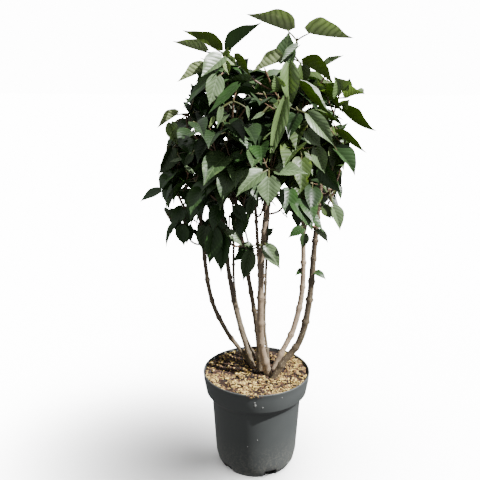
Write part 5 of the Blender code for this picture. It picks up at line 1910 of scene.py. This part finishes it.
def build_plant():
    placed_leaves.extend(PlacedLeaf(*row) for row in PLACED)
    for leaf in placed_leaves:
        spots = leaf.surface_spots()
        shown_spots.extend((place, seen_at(place)) for place in spots)
        if leaf.tone in SUNLIT_TONES:
            sunlit_spots.extend(place + leaf.up * SUNLIT_OVER for place in spots[1:8:2])
    limbs = {name: stem_limb(name) for name in STEMS}
    for name in BOUGHS:
        limbs[name] = bough_limb(name, limbs)
    build_limbs(limbs)

    materials = {tone: [leaf_skin("lilac leaf top, " + words, *top),
                        leaf_skin("lilac leaf underside, " + words, *under)]
                 for tone, (words, top, under) in LEAF_TONES.items()}
    materials["twig"] = [plain_skin("young lilac twig", "#4a3a2a", "#6a4c3a", 0.55)]
    materials["stalk"] = [plain_skin("lilac leaf stalk", "#36431f", "#463c24", 0.5)]
    materials["bud"] = [plain_skin("lilac bud scales", "#4c3f2a", "#5c6434", 0.5)]
    find_sunlit_spots(limbs[SUNLIT_STEM])
    masses = grow(limbs)
    build_foliage(masses, limbs, materials)


def build_soil(material):
    soil = frame["nodes"]["soil"]
    for slot in soil.material_slots:
        slot.material = material


# ---------------------------------------------------------------- stage, light and camera

def build_stage():
    nothing_selected()
    bpy.ops.mesh.primitive_plane_add(size=FLOOR_SIZE, location=(0.0, 0.0, -FLOOR_GAP))
    floor = bpy.context.object
    floor.name = "studio_floor"
    material, _, shader = new_material("white studio floor")
    shader.inputs["Base Color"].default_value = linear("#c4c4c4")
    shader.inputs["Roughness"].default_value = 0.9
    shader.inputs["Specular IOR Level"].default_value = 0.1
    floor.data.materials.append(material)
    floor.visible_diffuse = False       # the floor's own bright light stays off the plant
    floor.visible_glossy = False
    floor.visible_transmission = False

    # Cards held out of sight over the floor, which soften and widen the shadow beside the pot.
    card_paint, _, _ = new_material("black card")
    cards = []
    for i, (middle, (half_long, half_deep)) in enumerate(SHADE_CARDS):
        nothing_selected()
        bpy.ops.mesh.primitive_circle_add(vertices=64, radius=1.0, fill_type="NGON", location=middle)
        card = bpy.context.object
        card.name = "shade_card_%d" % i
        card.scale = (half_long, half_deep, 1.0)
        settle(card)
        card.data.materials.append(card_paint)
        for kind in ("camera", "diffuse", "glossy", "transmission"):
            setattr(card, "visible_" + kind, False)
        cards.append(card)
    return [floor] + cards


def add_sun(name, strength, angle, direction):
    light = bpy.data.lights.new(name, "SUN")
    light.energy = strength
    light.angle = math.radians(angle)
    lamp = linked(name, light)
    lamp.rotation_euler = direction.to_track_quat("Z", "Y").to_euler()
    return lamp


def light_scene(floor, *cards):
    """A small bright sun on the plant, a wide soft one on the floor, and a dim even sky."""
    sun = add_sun("sun", SUN_STRENGTH, SUN_ANGLE, SUN_FROM)
    soft = add_sun("soft sun on the floor", SOFT_SUN_STRENGTH, SOFT_SUN_ANGLE, SOFT_SUN_FROM)
    # With multiple importance sampling some of this light would pass through the cards.
    soft.data.cycles.use_multiple_importance_sampling = False
    floor_only = bpy.data.collections.new("lit softly")
    floor_only.objects.link(floor)
    soft.light_linking.receiver_collection = floor_only
    plant_only = bpy.data.collections.new("lit by the sun")
    for thing in bpy.context.scene.objects:
        if thing.type == "MESH" and thing != floor and thing not in cards:
            plant_only.objects.link(thing)
    sun.light_linking.receiver_collection = plant_only
    sun.light_linking.blocker_collection = plant_only

    world = bpy.data.worlds.new("white studio")
    world.use_nodes = True
    tree = world.node_tree
    background = tree.nodes["Background"]
    height = split_axis(tree, (add(tree, "ShaderNodeTexCoord"), "Generated"), "Z")
    dome = ranged(tree, height, *SKY_RISE, SKY_BELOW, SKY_ABOVE)
    seen = add(tree, "ShaderNodeLightPath"), "Is Camera Ray"
    backdrop = add(tree, "ShaderNodeMix", {3: BACKDROP_STRENGTH}, {0: seen, 2: dome})
    background.inputs["Color"].default_value = (1.0, 1.0, 1.0, 1.0)
    tree.links.new(backdrop.outputs[0], background.inputs["Strength"])
    bpy.context.scene.world = world


def place_camera():
    camera = bpy.data.cameras.new("camera")
    camera.lens = CAMERA_LENS
    camera.sensor_width = SENSOR
    holder = linked("camera", camera)
    holder.location = CAMERA_PLACE
    holder.rotation_euler = (CAMERA_ANGLES[0], 0.0, CAMERA_ANGLES[1])
    bpy.context.scene.camera = holder


build_pot(pot_plastic())
build_specks(crumbs("dried splashes of peat", "#5c5d5c", "#8c8d8a", 600.0))
# The bed under the chips is near black: partly the peat's own colour, partly painted shade in the gaps
# between chips.
build_bed(crumbs("dark mulch dust and painted shade", "#120b07", "#2c1d13", 260.0))
build_chips([chip_bark("straw coloured wood chip", "#8f7536", "#d4bb6e"),
             chip_bark("tan bark chip", "#5c4426", "#8c6a3e"),
             chip_bark("brown bark chip", "#382418", "#5c3f2a"),
             chip_bark("dark bark chip", "#100b08", "#221711")])
build_soil(crumbs("moist potting soil", "#0b0806", "#19120d", 300.0))
build_plant()
light_scene(*build_stage())
place_camera()
